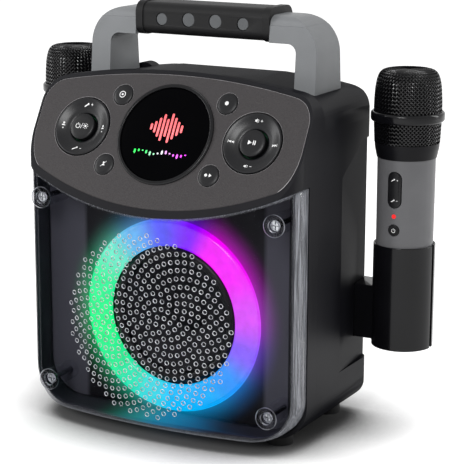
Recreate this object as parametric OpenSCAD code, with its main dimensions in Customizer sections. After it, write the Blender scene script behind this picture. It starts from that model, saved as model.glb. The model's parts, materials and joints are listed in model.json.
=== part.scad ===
// Portable karaoke speaker with a tilted round-display panel, a light ring and two side microphones.
// Axes: X is width, -Y is the front, Z is up. The floor is Z = 0.

/* [Cabinet] */
// Width of the cabinet, without the microphone holders
body_width = 230; // [226:1:280]
// Height of the cabinet from its base to the rim above the panel
body_height = 266; // [262:1:320]
// Depth from the cover seat to the rear face
body_depth = 111; // [104:1:140]
// Thickness of the moulded walls
wall = 2.8; // [2.2:0.1:3.4]
// Radius of the two bottom edges
bottom_corner = 28; // [20:1:34]
// Radius of the two top edges
top_corner = 20; // [14:1:24]
// Radius of the upright rear edges
rear_corner = 12; // [8:1:14]
// Height of the rubber feet
foot_height = 6; // [5:0.5:12]
// Radius of the rubber feet
foot_radius = 10; // [8:0.5:12]

/* [Control panel] */
// Lean of the panel from upright, in degrees
panel_tilt = 30; // [26:1:32]
// Thickness of the panel plate
plate_thick = 2.5; // [2:0.1:3]
// Radius of the round display trim
display_radius = 39.6; // [34:0.1:40]
// Radius of the four-way pads
pad_radius = 23.1; // [20:0.1:23.4]
// Radius of the button in the middle of each pad
centre_radius = 10.2; // [8:0.1:10.4]
// Radius of the four small buttons
button_radius = 8.2; // [6:0.1:8.8]
// Travel of every push button
button_travel = 1; // [0.6:0.1:1]
// Tilt of the pads to each side, in degrees
pad_swing = 2.2; // [1.5:0.1:2.2]

/* [Speaker] */
// Outer radius of the light ring
ring_outer = 75; // [72:0.5:80]
// Inner radius of the light ring
ring_inner = 54; // [53:0.5:56]
// Height of the speaker axis above the cabinet base
speaker_height = 81.7; // [80:0.1:88]
// Radius of the cone where it meets the surround
cone_radius = 44; // [36:0.5:44]
// Travel of the cone to each side of rest
cone_travel = 2; // [1:0.1:2.5]

/* [Front cover] */
// Thickness of the clear cover
cover_wall = 2.5; // [2:0.1:3]
// How far the middle of the cover stands in front of its screws
cover_bulge = 17.5; // [16:0.1:18.5]
// Number of holes in front of the speaker
hole_count = 440; // [120:20:480]
// Radius of each hole
hole_radius = 1.3; // [0.8:0.05:1.6]
// Radius of the round field of holes
hole_field = 70; // [68:0.5:76]

/* [Handle] */
// Distance from the rim above the panel up to the top of the grip
handle_height = 47; // [42:1:94]
// Half of the clear width between the handle legs
handle_inner = 79.8; // [74:0.1:82]
// Thickness of each handle leg across the cabinet
leg_width = 17.2; // [14:0.1:18]
// Length of the rubber grip
grip_length = 115; // [90:1:120]

/* [Microphones] */
// Length of each microphone
mic_length = 209; // [190:1:240]
// Radius of the microphone tube at its top
mic_radius = 21.9; // [19:0.1:22.4]
// Radius of the ring round the head
mic_ring_radius = 27.6; // [27:0.1:30]
// Height of each holder cup
holder_height = 80; // [60:1:90]
// Gap between the cup and the microphone
mic_gap = 0.5; // [0.4:0.05:0.9]
// Lift that takes a microphone out of its cup
mic_lift = 80; // [78:1:100]

/* [Fits] */
// Gap between a seated piece and its seat
seat_gap = 0.3; // [0.2:0.05:0.4]
// Gap round each button in the plate
button_gap = 0.35; // [0.3:0.05:0.5]
// Gap round each pad in the plate and round its middle button
pad_gap = 0.8; // [0.7:0.05:0.9]

/* [Hidden] */
$fn = 64;
// segments of the long flat arcs
fine = 720;
half_width = body_width / 2;
base_z = foot_height;
rim_z = base_z + body_height;
seat_y = 20;
rear_y = seat_y + body_depth;
crown_radius = 560;
// panel plane: its middle, and the line it draws in side view
panel_y = 12.9;
panel_z = rim_z - 43.7;
panel_wall = 6;
bezel_band = 3;
bezel_side = 2;
// how far the lip stands in front of the cover, and the plate edge behind it
lip_step = 1.9;
plate_step = 1.5;
lip_z = rim_z - 99.6;
lip_radius = 262;
lip_centre = lip_z + lip_radius;
pad_x = half_width - 42.6;
button_x = half_width - 70.5;
button_v = 27.9;
board_top = -9;
board_thick = 1.6;
switch_top = -8.6;
pivot_level = -5.3;
frame_level = -8.8;
// speaker
speaker_z = base_z + speaker_height;
baffle_y = 24;
baffle_thick = 3;
// cover
cover_inset = 0.8;
cover_corner = 20;
cover_rise = 2.5;
corner_crease = 0.1;
cover_low_corner = 32;
bow_radius = 447;
bow_centre = bow_radius - cover_bulge;
screw_top_x = half_width - 15.6;
screw_top_z = rim_z - 98;
screw_low_x = half_width - 20.2;
screw_low_z = base_z + 24.5;
post_radius = 7.5;
// top of the cabinet behind the rim
rim_back = 43;
deck_z = rim_z - 4.3;
deck_drop = 2.9;
deck_crown = 470;
// handle
grip_top = rim_z + handle_height;
bar_top = grip_top - 5.5;
bar_bottom = grip_top - 25.5;
handle_outer = handle_inner + leg_width;
handle_y = 85.5;
leg_foot_z = rim_z - 34;
grip_half = grip_length / 2;
grip_low = grip_top - 26;
// microphones
mic_x = half_width + 32.5;
mic_y = rear_y - 12.8;
holder_z = base_z + 56.5;
holder_floor = 3;
mic_base = holder_z + holder_floor + 0.1;
mic_top = mic_base + mic_length;
holder_inner = mic_radius - 0.4 + mic_gap;
holder_wall = 1.5;
holder_outer = holder_inner + holder_wall;
arm_half = 12.5;
arm_z0 = holder_z + 4;
arm_z1 = holder_z + 46;
arm_root = half_width - 11;
slot_z = mic_top - 88.1;
led_z = mic_top - 108.1;
power_z = mic_top - 118.7;
// rear face
jack_half = 34;
jack_z = base_z + 84;
rear_screws = [
  [half_width - 24, rim_z - 30], [24 - half_width, rim_z - 30],
  [half_width - 30, base_z + 26], [30 - half_width, base_z + 26]
];
tube_top = mic_top - 66;
// middle of the whole depth, so that the origin is under the middle of the box
front_most = panel_y - (panel_z - lip_z) * tan(panel_tilt);
rear_most = mic_y + mic_ring_radius;
mid_y = (front_most + rear_most) / 2;

// ---- helpers ----

// moves a piece from the cover-screw plane to the middle of the whole depth
module placed() {
  translate([0, -mid_y, 0]) children();
}

// a flat shape in X and Z, carried along Y
module front_view(y0, y1) {
  translate([0, y1, 0]) rotate([90, 0, 0]) linear_extrude(height = y1 - y0) children();
}

// a flat shape in Y and Z, carried along X
module side_view(x0, x1) {
  translate([x0, 0, 0]) rotate([90, 0, 90]) linear_extrude(height = x1 - x0) children();
}

// children drawn on the panel: X across, Y up the slope, Z outward
module on_panel() {
  translate([0, panel_y, panel_z]) rotate([90 - panel_tilt, 0, 0]) children();
}

// a slab that lies along the panel between two levels
module panel_slab(n0, n1) {
  on_panel() translate([-200, -200, n0]) cube([400, 400, n1 - n0]);
}

// children drawn on the speaker axis: Z points to the front from the back of the baffle
module on_speaker() {
  translate([0, baffle_y + baffle_thick, speaker_z]) rotate([90, 0, 0]) children();
}

// one piece on each side
module both_sides() {
  children();
  mirror([1, 0, 0]) children();
}

// box with a gently arched top and two rounded top corners
module crowned(half, crown, corner, top, low, t) {
  cx = half - corner;
  az = top - crown;
  cz = az + sqrt(pow(crown - corner, 2) - cx * cx);
  tx = cx * (crown - t) / (crown - corner);
  intersection() {
    translate([0, az]) circle(r = crown - t, $fn = fine);
    translate([-tx, cz]) square([2 * tx, 60]);
  }
  translate([cx, cz]) circle(r = corner - t);
  translate([-cx, cz]) circle(r = corner - t);
  translate([t - half, low]) square([2 * (half - t), cz - low]);
}

// rounded box with a crowned top, seen from the front, drawn in by t
module front_shape(half, base, low_corner, t) {
  bx = half - low_corner;
  bz = base + low_corner;
  union() {
    crowned(half, crown_radius, top_corner, rim_z, bz, t);
    translate([-bx, base + t]) square([2 * bx, low_corner]);
    translate([bx, bz]) circle(r = low_corner - t);
    translate([-bx, bz]) circle(r = low_corner - t);
  }
}

// the cabinet seen from the front, drawn in by t
module outline(t) {
  front_shape(half_width, base_z, bottom_corner, t);
}

// everything behind a bowed front with two rounded upright edges
module bowed(half, bow, corner) {
  cx = half - corner;
  cy = bow_centre - sqrt(pow(bow - corner, 2) - cx * cx);
  tx = cx * bow / (bow - corner);
  difference() {
    translate([0, bow_centre, -50]) cylinder(r = bow, h = 500, $fn = fine);
    both_sides() difference() {
      translate([tx, -60, -1]) cube([60, cy + 60, 400]);
      translate([cx + corner_crease, cy - corner_crease, -2]) cylinder(r = corner, h = 410);
    }
  }
}

// the panel line in side view at height z
function panel_line(z) = panel_y + (z - panel_z) * tan(panel_tilt);

// the cabinet seen from the side
module side_outer() {
  intersection() {
    polygon([
      [panel_line(0), 0],
      [panel_line(rim_z), rim_z],
      [rim_back, rim_z - 1],
      [rim_back, deck_z],
      [rear_y + 10, deck_z - deck_drop],
      [rear_y + 10, 0]
    ]);
    rear_round(0);
  }
}

// the hollow of the cabinet seen from the side
module side_inner(t) {
  shift = panel_wall / cos(panel_tilt);
  intersection() {
    polygon([
      [panel_line(0) + shift, 0],
      [panel_line(deck_z - t) + shift, deck_z - t],
      [rear_y + 10, deck_z - deck_drop - t],
      [rear_y + 10, 0]
    ]);
    rear_round(t);
  }
}

// rounded rear edges in side view
module rear_round(t) {
  cy = rear_y - rear_corner;
  z0 = base_z + rear_corner;
  z1 = deck_z - deck_drop - rear_corner;
  union() {
    translate([-150, base_z + t]) square([cy + 150, 400]);
    translate([-150, z0]) square([rear_y - t + 150, z1 - z0]);
    translate([cy, z0]) circle(r = rear_corner - t);
    translate([cy, z1]) circle(r = rear_corner - t);
  }
}

// rounded rear edges in plan view
module plan_round(t) {
  cx = half_width - rear_corner;
  cy = rear_y - rear_corner;
  union() {
    translate([-cx, -60]) square([2 * cx, rear_y - t + 60]);
    translate([t - half_width, -60]) square([2 * (half_width - t), cy + 60]);
    translate([cx, cy]) circle(r = rear_corner - t);
    translate([-cx, cy]) circle(r = rear_corner - t);
  }
}

// behind the rim the top is lower and more arched
module deck_limit(t) {
  union() {
    translate([-200, -60, 0]) cube([400, rim_back + 60, 400]);
    front_view(0, 200) crowned(half_width, deck_crown, top_corner + 4, deck_z, 0, t);
  }
}

// outer form of the cabinet
module cabinet_outer() {
  intersection() {
    front_view(-60, 200) outline(0);
    side_view(-200, 200) side_outer();
    linear_extrude(height = 400) plan_round(0);
    deck_limit(0);
    bowed(half_width, bow_radius + lip_step, cover_corner + cover_inset);
    union() {
      translate([-200, seat_y, 0]) cube([400, 200, 400]);
      front_view(-60, 200) translate([0, lip_centre]) circle(r = lip_radius, $fn = fine);
    }
  }
}

// hollow of the cabinet, open to the front below the lip
module cabinet_inner() {
  intersection() {
    front_view(-60, 200) outline(wall);
    side_view(-200, 200) side_inner(wall);
    linear_extrude(height = 400) plan_round(wall);
    deck_limit(wall);
    bowed(half_width - wall, bow_radius + lip_step - wall, cover_corner + cover_inset - wall);
    union() {
      translate([-200, baffle_y, 0]) cube([400, 200, 400]);
      front_view(-60, 200) translate([0, lip_centre]) circle(r = lip_radius - wall, $fn = fine);
      front_view(seat_y - 1, baffle_y + 1) difference() {
        translate([-200, 0]) square([400, lip_z + 80]);
        translate([0, lip_centre]) circle(r = lip_radius, $fn = fine);
      }
    }
  }
}

// side view of the front housing, up to the seam
module seam_side() {
  polygon([
    [-80, 0], [36, 0], [36, rim_z - 84], [40, rim_z - 73], [50, rim_z - 56.5],
    [60.5, rim_z - 40.5], [63.5, rim_z - 34], [65.5, rim_z - 28.5], [68, rim_z - 27], [113, rim_z - 26],
    [113, rim_z + 50], [-80, rim_z + 50]
  ]);
}

// upright column that cuts the plate out of the panel, drawn out by g
module plate_column(g) {
  intersection() {
    front_view(-60, 60)
      crowned(half_width - bezel_side + g, crown_radius - bezel_band + g, top_corner - bezel_side + g,
        rim_z - bezel_band + g, lip_z - 40, 0);
    bowed(half_width - bezel_side + g, bow_radius - plate_step + g, cover_corner - bezel_side + g);
  }
}

// shallow wedge that thins each rear flank, grown by g
module flank_recess(g) {
  intersection() {
    linear_extrude(height = 400) polygon([
      [half_width - g, 74], [half_width - 5 - g, rear_y + 4],
      [half_width + 40, rear_y + 4], [half_width + 40, 74]
    ]);
    side_view(half_width - 20, half_width + 20) polygon([
      [75, base_z + 40 - g], [rear_y + 5, base_z + 40 - g], [rear_y + 5, rim_z - 51.8 + g],
      [111.7, rim_z - 51.8 + g], [75, rim_z - 75.4 + g]
    ]);
  }
}

// corner notch that takes the arm of a microphone holder, grown by g
module arm_notch(g) {
  c = seat_gap + g;
  translate([arm_root - c, mic_y - arm_half - c, arm_z0 - c]) cube([60, 60, arm_z1 - arm_z0 + 2 * c]);
}

// ---- cabinet ----

module front_housing() {
  color([0.13, 0.13, 0.14]) placed() difference() {
    intersection() {
      cabinet_outer();
      side_view(-200, 200) seam_side();
    }
    cabinet_inner();
    // pocket and window for the control plate
    intersection() {
      panel_slab(-plate_thick, 30);
      plate_column(seat_gap);
    }
    intersection() {
      panel_slab(-20, 30);
      plate_column(-4);
    }
    // sockets for the handle legs
    handle_block(seat_gap);
  }
}

module rear_housing() {
  color([0.15, 0.15, 0.16]) placed() difference() {
    union() {
      difference() {
        cabinet_outer();
        both_sides() flank_recess(0);
        both_sides() arm_notch(0);
      }
      both_sides() anchor_boss();
    }
    difference() {
      cabinet_inner();
      both_sides() flank_recess(wall);
      both_sides() arm_notch(wall);
    }
    side_view(-200, 200) seam_side();
    // opening for the jack plate and its recess
    translate([-jack_half + 3, rear_y - 20, jack_z - 13]) cube([2 * jack_half - 6, 40, 26]);
    translate([-jack_half - seat_gap, rear_y - 1.5, jack_z - 16 - seat_gap])
      cube([2 * jack_half + 2 * seat_gap, 40, 32 + 2 * seat_gap]);
    // counterbored screw holes
    for (p = rear_screws) translate([p[0], rear_y - 10, p[1]]) rotate([-90, 0, 0]) {
      cylinder(r = 1.7, h = 30);
      translate([0, 0, 8.6]) cylinder(r = 3.8, h = 30);
    }
  }
}

// rounded boss behind each handle leg
module anchor_boss() {
  translate([handle_inner - 0.8, 113, rim_z - 19]) rotate([-90, 0, 0]) cylinder(r = 12, h = 11);
}

module baffle() {
  color([0.06, 0.06, 0.07]) placed() difference() {
    front_view(baffle_y, baffle_y + baffle_thick) difference() {
      outline(wall);
      translate([0, lip_centre]) circle(r = lip_radius - wall - 5, $fn = fine);
      translate([0, speaker_z]) circle(r = ring_inner + 3);
    }
    both_sides() cover_screw_at() cylinder(r = 2, h = 60, center = true);
    speaker_screw_at() cylinder(r = 1.6, h = 20, center = true);
  }
}

// children at the two cover screws of the right side, Z to the front
module cover_screw_at() {
  translate([screw_top_x, 0, screw_top_z]) rotate([90, 0, 0]) children();
  translate([screw_low_x, 0, screw_low_z]) rotate([90, 0, 0]) children();
}

// the solid inside the cover's outer face, drawn in by t
module cover_solid(t, back) {
  intersection() {
    front_view(-40, back) difference() {
      front_shape(half_width - cover_inset, base_z + cover_rise, cover_low_corner, t);
      translate([0, lip_centre]) circle(r = lip_radius + 0.6 + t, $fn = fine);
    }
    bowed(half_width - cover_inset - t, bow_radius - t, cover_corner - t);
  }
}

module front_cover() {
  color([0.85, 0.88, 0.9, 0.3]) placed() difference() {
    union() {
      difference() {
        cover_solid(0, seat_y);
        cover_solid(cover_wall, seat_y + 5);
      }
      intersection() {
        both_sides() cover_screw_at() translate([0, 0, -baffle_y]) cylinder(r = post_radius, h = 60);
        cover_solid(0.5, baffle_y);
      }
    }
    both_sides() cover_screw_at() cylinder(r = 2.1, h = 80, center = true);
    both_sides() cover_screw_at() cylinder(r = 4.6, h = 40);
    // holes on a spiral, evenly spaced over the round field
    front_view(-cover_bulge - 2, -cover_bulge + 12) translate([0, speaker_z + 1.5]) {
      for (i = [0 : hole_count - 1]) {
        rotate([0, 0, i * 137.508]) translate([hole_field * sqrt((i + 0.5) / hole_count), 0])
          circle(r = hole_radius);
      }
    }
  }
}

module cover_screws() {
  color([0.75, 0.75, 0.78]) placed() both_sides() cover_screw_at() {
    difference() {
      cylinder(r = 4, h = 2.6);
      translate([-3, -0.5, 1.4]) cube([6, 1, 2]);
      translate([-0.5, -3, 1.4]) cube([1, 6, 2]);
    }
    translate([0, 0, -26]) cylinder(r = 1.9, h = 26);
  }
}

module light_ring_lens() {
  color([0.9, 0.92, 0.95, 0.8]) placed() on_speaker()
    translate([0, 0, baffle_thick]) rotate_extrude() polygon([
    [ring_inner, 0], [ring_inner, 2.4], [ring_inner + 2.4, 4.6], [ring_outer - 2.4, 4.6],
    [ring_outer, 2.4], [ring_outer, 0], [ring_outer - 1.8, 0], [ring_outer - 1.8, 1.9],
    [ring_outer - 3.2, 3.1], [ring_inner + 3.2, 3.1], [ring_inner + 1.8, 1.9], [ring_inner + 1.8, 0]
  ]);
}

module light_ring_board() {
  color([0.1, 0.35, 0.2]) placed() on_speaker() translate([0, 0, baffle_thick]) {
    difference() {
      cylinder(r = ring_outer - 2.1, h = 1.2);
      translate([0, 0, -1]) cylinder(r = ring_inner + 3, h = 4);
    }
    for (i = [0 : 23]) {
      rotate([0, 0, 15 * i]) translate([(ring_outer + ring_inner) / 2 - 1.5, -1.5, 1.1]) cube([3, 3, 1.1]);
    }
  }
}

// ---- speaker ----

// four screws that hold the basket behind the baffle
module speaker_screw_at() {
  for (i = [0 : 3]) {
    on_speaker() rotate([0, 0, 45 + 90 * i]) translate([ring_inner + 7.5, 0, 0]) children();
  }
}

module speaker_basket() {
  color([0.1, 0.1, 0.11]) placed() difference() {
    on_speaker() rotate_extrude() polygon([
      [cone_radius + 6, -3], [ring_inner + 11, -3], [ring_inner + 11, 0], [cone_radius + 6, 0]
    ]);
    speaker_screw_at() cylinder(r = 1.6, h = 20, center = true);
  }
  color([0.1, 0.1, 0.11]) placed() on_speaker() difference() {
    rotate_extrude() polygon([
      [cone_radius + 6, -3], [cone_radius + 8.5, -3], [33, -40], [33, -42], [24, -42], [24, -40], [30, -40]
    ]);
    for (i = [0 : 5]) {
      rotate([0, 0, 60 * i]) translate([30, -9, -36]) cube([40, 18, 24]);
    }
  }
}

module speaker_magnet() {
  color([0.2, 0.2, 0.21]) placed() on_speaker() difference() {
    translate([0, 0, -64]) cylinder(r = 38, h = 22);
    translate([0, 0, -58]) difference() {
      cylinder(r = 13.9, h = 30);
      translate([0, 0, -1]) cylinder(r = 11.9, h = 40);
    }
  }
}

module speaker_surround() {
  // the roll keeps clear of the moving edge of the cone
  m = cone_radius + 5.2;
  color([0.08, 0.08, 0.08]) placed() on_speaker() rotate_extrude() union() {
    difference() {
      translate([m, 0.4]) circle(r = 4);
      translate([m, 0.4]) circle(r = 3.2);
      translate([m - 6, -6]) square([12, 6.4]);
    }
    translate([m + 3.2, 0]) square([ring_inner + 2.5 - m - 3.2, 0.8]);
  }
}

module speaker_cone() {
  r = cone_radius;
  color([0.09, 0.09, 0.1]) placed() on_speaker() union() {
    rotate_extrude() polygon([
      [r + 0.8, -0.8], [r + 0.8, 0.1], [r - 1, 0.1], [15, -21], [12.5, -21], [12.5, -48],
      [13.3, -48], [13.3, -22], [15.4, -22], [r - 0.6, -0.8]
    ]);
    // dust cap
    intersection() {
      difference() {
        translate([0, 0, -34]) sphere(r = 22);
        translate([0, 0, -34]) sphere(r = 21.2);
      }
      translate([0, 0, -21]) cylinder(r = 19, h = 30);
    }
  }
}

module speaker_screws() {
  color([0.6, 0.6, 0.62]) placed() speaker_screw_at() {
    translate([0, 0, -5.6]) cylinder(r = 3, h = 2.6);
    translate([0, 0, -5.6]) cylinder(r = 1.5, h = 7.6);
  }
}

// ---- control panel ----

// the four small button places as signs of X and slope
module small_button_holes() {
  for (s = [-1, 1]) {
    for (u = [-1, 1]) {
      translate([s * button_x, u * button_v, 0])
        cylinder(r = button_radius + button_gap, h = 40, center = true);
    }
  }
}

module control_plate() {
  color([0.28, 0.27, 0.28]) placed() difference() {
    union() {
      intersection() {
        panel_slab(-plate_thick, 0);
        plate_column(0);
      }
      // posts for the board
      on_panel() for (s = [-1, 1]) {
        translate([s * (pad_x - 30.2), 0, board_top]) cylinder(r = 2.3, h = -board_top - 1);
        translate([s * (pad_x + 29.2), 0, board_top]) cylinder(r = 2.3, h = -board_top - 1);
      }
    }
    on_panel() {
      cylinder(r = display_radius - 2, h = 40, center = true);
      small_button_holes();
      for (s = [-1, 1]) {
        translate([s * pad_x, 0, 0]) cylinder(r = pad_radius + pad_gap, h = 12, center = true);
      }
    }
  }
}

module display_trim() {
  d = display_radius;
  color([0.05, 0.05, 0.06]) placed() on_panel() rotate_extrude() polygon([
    [d - 4.6, -5.5], [d - 2.3, -5.5], [d - 2.3, 0], [d, 0], [d, 0.9], [d - 0.9, 1.8],
    [d - 2.6, 1.8], [d - 3, 0.8], [d - 3, -1.2], [d - 4.6, -1.2]
  ]);
}

module display_lens() {
  color([0.02, 0.02, 0.03]) placed() on_panel()
    translate([0, 0, -1.2]) cylinder(r = display_radius - 3.2, h = 1.7);
}

module display_module() {
  color([0.1, 0.12, 0.14]) placed() on_panel()
    translate([0, 0, -5]) cylinder(r = display_radius - 4.9, h = 3.8);
}

// a tact switch with its top at the given level
module switch_at(x, v, top) {
  translate([x - 2, v - 2, board_top - 0.1]) cube([4, 4, top - board_top + 0.1]);
}

module control_board() {
  color([0.08, 0.3, 0.16]) placed() {
    intersection() {
      panel_slab(board_top - board_thick, board_top);
      front_view(-60, 80) intersection() {
        outline(10);
        translate([0, lip_centre]) circle(r = lip_radius - 10, $fn = fine);
      }
    }
    on_panel() for (s = [-1, 1]) {
      switch_at(s * button_x, button_v, switch_top);
      switch_at(s * button_x, -button_v, switch_top);
      switch_at(s * pad_x, 0, switch_top);
      for (q = [[20.6, 0], [-20.6, 0], [0, 20.6], [0, -20.6]]) {
        translate([s * pad_x + q[0] - 1.4, q[1] - 1.4, board_top - 0.1]) cube([2.8, 2.8, 2.7]);
      }
    }
  }
}

// round push button: domed cap, retaining flange and stem
module push_button(r, flange) {
  rotate_extrude() polygon([
    [0, -7.5], [2.5, -7.5], [2.5, -5], [flange ? r + 1.2 : r, -5], [flange ? r + 1.2 : r, -3.2],
    [r, -3.2], [r, 0.2], [r - 0.7, 0.75], [r - 2.4, 1.05], [0, 1.2]
  ]);
}

module button_upper_left() {
  color([0.2, 0.2, 0.21]) placed() on_panel()
    translate([-button_x, button_v, 0]) push_button(button_radius, true);
}

module button_lower_left() {
  color([0.2, 0.2, 0.21]) placed() on_panel()
    translate([-button_x, -button_v, 0]) push_button(button_radius, true);
}

module button_upper_right() {
  color([0.2, 0.2, 0.21]) placed() on_panel()
    translate([button_x, button_v, 0]) push_button(button_radius, true);
}

module button_lower_right() {
  color([0.2, 0.2, 0.21]) placed() on_panel()
    translate([button_x, -button_v, 0]) push_button(button_radius, true);
}

module button_centre_left() {
  color([0.1, 0.1, 0.11]) placed() on_panel() translate([-pad_x, 0, 0]) push_button(centre_radius, false);
}

module button_centre_right() {
  color([0.1, 0.1, 0.11]) placed() on_panel() translate([pad_x, 0, 0]) push_button(centre_radius, false);
}

// dished four-way ring
module pad() {
  a = centre_radius + pad_gap;
  r = pad_radius;
  rotate_extrude() polygon([
    [a, pivot_level + 0.1], [r + 1.6, pivot_level + 0.1], [r + 1.6, -4.1], [r, -4.1], [r, 0.3],
    [r - 0.9, 1.1], [r - 3, 0.2], [r - 6.5, -1], [a + 1.2, -1.2], [a, -1.6]
  ]);
}

module pad_left() {
  color([0.09, 0.09, 0.1]) placed() on_panel() translate([-pad_x, 0, 0]) pad();
}

module pad_right() {
  color([0.09, 0.09, 0.1]) placed() on_panel() translate([pad_x, 0, 0]) pad();
}

// rocking frame under a pad: the pad rocks on its two upper ribs, the frame on its two lower ribs
module pad_frame() {
  difference() {
    translate([0, 0, -8]) cylinder(r = 17, h = 1.7);
    translate([0, 0, -9]) cylinder(r = 12.4, h = 4);
  }
  for (s = [-1, 1]) {
    translate([s * 14.7 - 1.8, -0.5, -6.4]) cube([3.6, 1, 0.95]);
    translate([-0.5, s * 14.7 - 1.8, -8.85]) cube([1, 3.6, 0.95]);
  }
}

module pad_frame_left() {
  color([0.5, 0.5, 0.5]) placed() on_panel() translate([-pad_x, 0, 0]) pad_frame();
}

module pad_frame_right() {
  color([0.5, 0.5, 0.5]) placed() on_panel() translate([pad_x, 0, 0]) pad_frame();
}

// ---- inside and rear ----

module main_board() {
  color([0.08, 0.3, 0.16]) placed() {
    translate([-60, rear_y - wall - 9, base_z + 125]) cube([120, 1.6, 70]);
    for (x = [-54, 54]) {
      for (z = [base_z + 131, base_z + 189]) {
        translate([x, rear_y - wall - 8, z]) rotate([-90, 0, 0]) cylinder(r = 3, h = 8);
      }
    }
    translate([-30, rear_y - wall - 21, base_z + 140]) cube([50, 12.2, 30]);
  }
}

module battery_pack() {
  color([0.2, 0.35, 0.6]) placed() translate([-40, rear_y - 52, base_z + wall]) cube([80, 38, 24]);
}

module jack_plate() {
  color([0.05, 0.05, 0.06]) placed() difference() {
    translate([-jack_half, rear_y - 1.5, jack_z - 16]) cube([2 * jack_half, 1.5, 32]);
    translate([-14, rear_y, jack_z]) rotate([90, 0, 0]) cylinder(r = 5.6, h = 10, center = true);
    translate([14, rear_y, jack_z]) rotate([90, 0, 0]) cylinder(r = 4.1, h = 10, center = true);
  }
}

module power_inlet() {
  color([0.7, 0.7, 0.72]) placed() translate([-14, rear_y, jack_z]) rotate([90, 0, 0]) difference() {
    translate([0, 0, -0.4]) cylinder(r = 5.3, h = 14.4);
    translate([0, 0, -1]) cylinder(r = 2.8, h = 11);
  }
}

module audio_jack() {
  color([0.7, 0.7, 0.72]) placed() translate([14, rear_y, jack_z]) rotate([90, 0, 0]) difference() {
    translate([0, 0, -0.4]) cylinder(r = 3.8, h = 17.4);
    translate([0, 0, -1]) cylinder(r = 1.8, h = 15);
  }
}

module housing_screws() {
  color([0.3, 0.3, 0.32]) placed() for (p = rear_screws) {
    translate([p[0], rear_y - 9, p[1]]) rotate([-90, 0, 0]) {
      cylinder(r = 1.6, h = 8);
      translate([0, 0, 7.6]) cylinder(r = 3.4, h = 1.2);
    }
  }
}

module feet() {
  color([0.05, 0.05, 0.05]) placed() difference() {
    both_sides() for (y = [seat_y + foot_radius + 1, rear_y - 19]) {
      translate([half_width - 27, y, 0]) cylinder(r = foot_radius, h = foot_height + 8);
    }
    cabinet_outer();
  }
}

// ---- handle ----

// the handle seen from the front, drawn out by g
module handle_front(g) {
  co = 28;
  ci = 7;
  difference() {
    union() {
      translate([-handle_outer - g, leg_foot_z]) square([2 * (handle_outer + g), bar_top - co - leg_foot_z]);
      translate([-handle_outer + co, leg_foot_z]) square([2 * (handle_outer - co), bar_top - leg_foot_z]);
      translate([handle_outer - co, bar_top - co]) circle(r = co);
      translate([-handle_outer + co, bar_top - co]) circle(r = co);
    }
    union() {
      translate([-handle_inner + g, 0]) square([2 * (handle_inner - g), bar_bottom - ci]);
      translate([-handle_inner + ci, 0]) square([2 * (handle_inner - ci), bar_bottom]);
      translate([handle_inner - ci, bar_bottom - ci]) circle(r = ci - g);
      translate([-handle_inner + ci, bar_bottom - ci]) circle(r = ci - g);
    }
  }
}

// legs and bar as one solid, drawn out by g
module handle_block(g) {
  r = 8;
  intersection() {
    front_view(20, 140) handle_front(g);
    side_view(-150, 150) difference() {
      polygon([
        [handle_y - 24 - g, leg_foot_z - 1], [handle_y - 18 - g, bar_top],
        [handle_y + 18 + g, bar_top], [handle_y + 24 + g, leg_foot_z - 1]
      ]);
      // round the two top edges
      difference() {
        translate([handle_y - 30, bar_top - 0.9 * r]) square([60, r]);
        translate([handle_y - 18 + r, bar_top - 2 * r]) square([36 - 2 * r, 3 * r]);
        translate([handle_y - 18 + r, bar_top - r]) circle(r = r);
        translate([handle_y + 18 - r, bar_top - r]) circle(r = r);
      }
    }
  }
}

module handle() {
  color([0.5, 0.5, 0.51]) placed() difference() {
    handle_block(0);
    // the bar is thinner inside the grip
    translate([-grip_half, 0, bar_bottom - 5]) cube([grip_length, handle_y - 14, 60]);
    translate([-grip_half, handle_y + 14, bar_bottom - 5]) cube([grip_length, 60, 60]);
    translate([-grip_half, 0, bar_top - 3.5]) cube([grip_length, 200, 60]);
    translate([-grip_half, 0, bar_bottom - 30]) cube([grip_length, 200, 33]);
  }
}

// rounded rectangle in Y and Z round the grip axis
module grip_section(hy, z0, z1, r) {
  union() {
    translate([handle_y - hy, z0 + r]) square([2 * hy, z1 - z0 - 2 * r]);
    translate([handle_y - hy + r, z0]) square([2 * hy - 2 * r, z1 - z0]);
    for (s = [-1, 1]) {
      translate([handle_y + s * (hy - r), z0 + r]) circle(r = r);
      translate([handle_y + s * (hy - r), z1 - r]) circle(r = r);
    }
  }
}

module handle_grip() {
  color([0.07, 0.07, 0.07]) placed() difference() {
    union() {
      side_view(-grip_half, grip_half) grip_section(18.6, grip_low + 0.8, grip_top - 0.8, 8);
      side_view(-grip_half, -grip_half + 6) grip_section(19.4, grip_low, grip_top, 9);
      side_view(grip_half - 6, grip_half) grip_section(19.4, grip_low, grip_top, 9);
    }
    translate([-80, handle_y - 14, bar_bottom + 3]) cube([160, 28, bar_top - bar_bottom - 6.5]);
    stud_at(seat_gap, 3);
  }
}

// four round insets on the front of the grip
module stud_at(g, depth) {
  for (s = [-1, 1]) {
    translate([s * 11.6, handle_y - 18.6 + depth, grip_top - 12.6])
      rotate([90, 0, 0]) cylinder(r = 5.2 + g, h = depth + 5 * g);
    translate([s * 35, handle_y - 18.6 + depth, grip_top - 13.2])
      rotate([90, 0, 0]) cylinder(r = 4.6 + g, h = depth + 5 * g);
  }
}

module grip_studs() {
  color([0.6, 0.6, 0.62]) placed() translate([0, 0.4, 0]) stud_at(0, 2.6);
}

// ---- microphone holders ----

module holder() {
  difference() {
    union() {
      translate([mic_x, mic_y, holder_z]) cylinder(r = holder_outer, h = holder_height);
      translate([arm_root, mic_y - arm_half, arm_z0]) cube([mic_x - arm_root, 2 * arm_half, arm_z1 - arm_z0]);
    }
    translate([mic_x, mic_y, holder_z + holder_floor]) cylinder(r = holder_inner, h = 200);
    // slit on the outer side
    translate([mic_x + 18, mic_y - 1.6, holder_z - 1]) cube([20, 3.6, 200]);
  }
}

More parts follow.
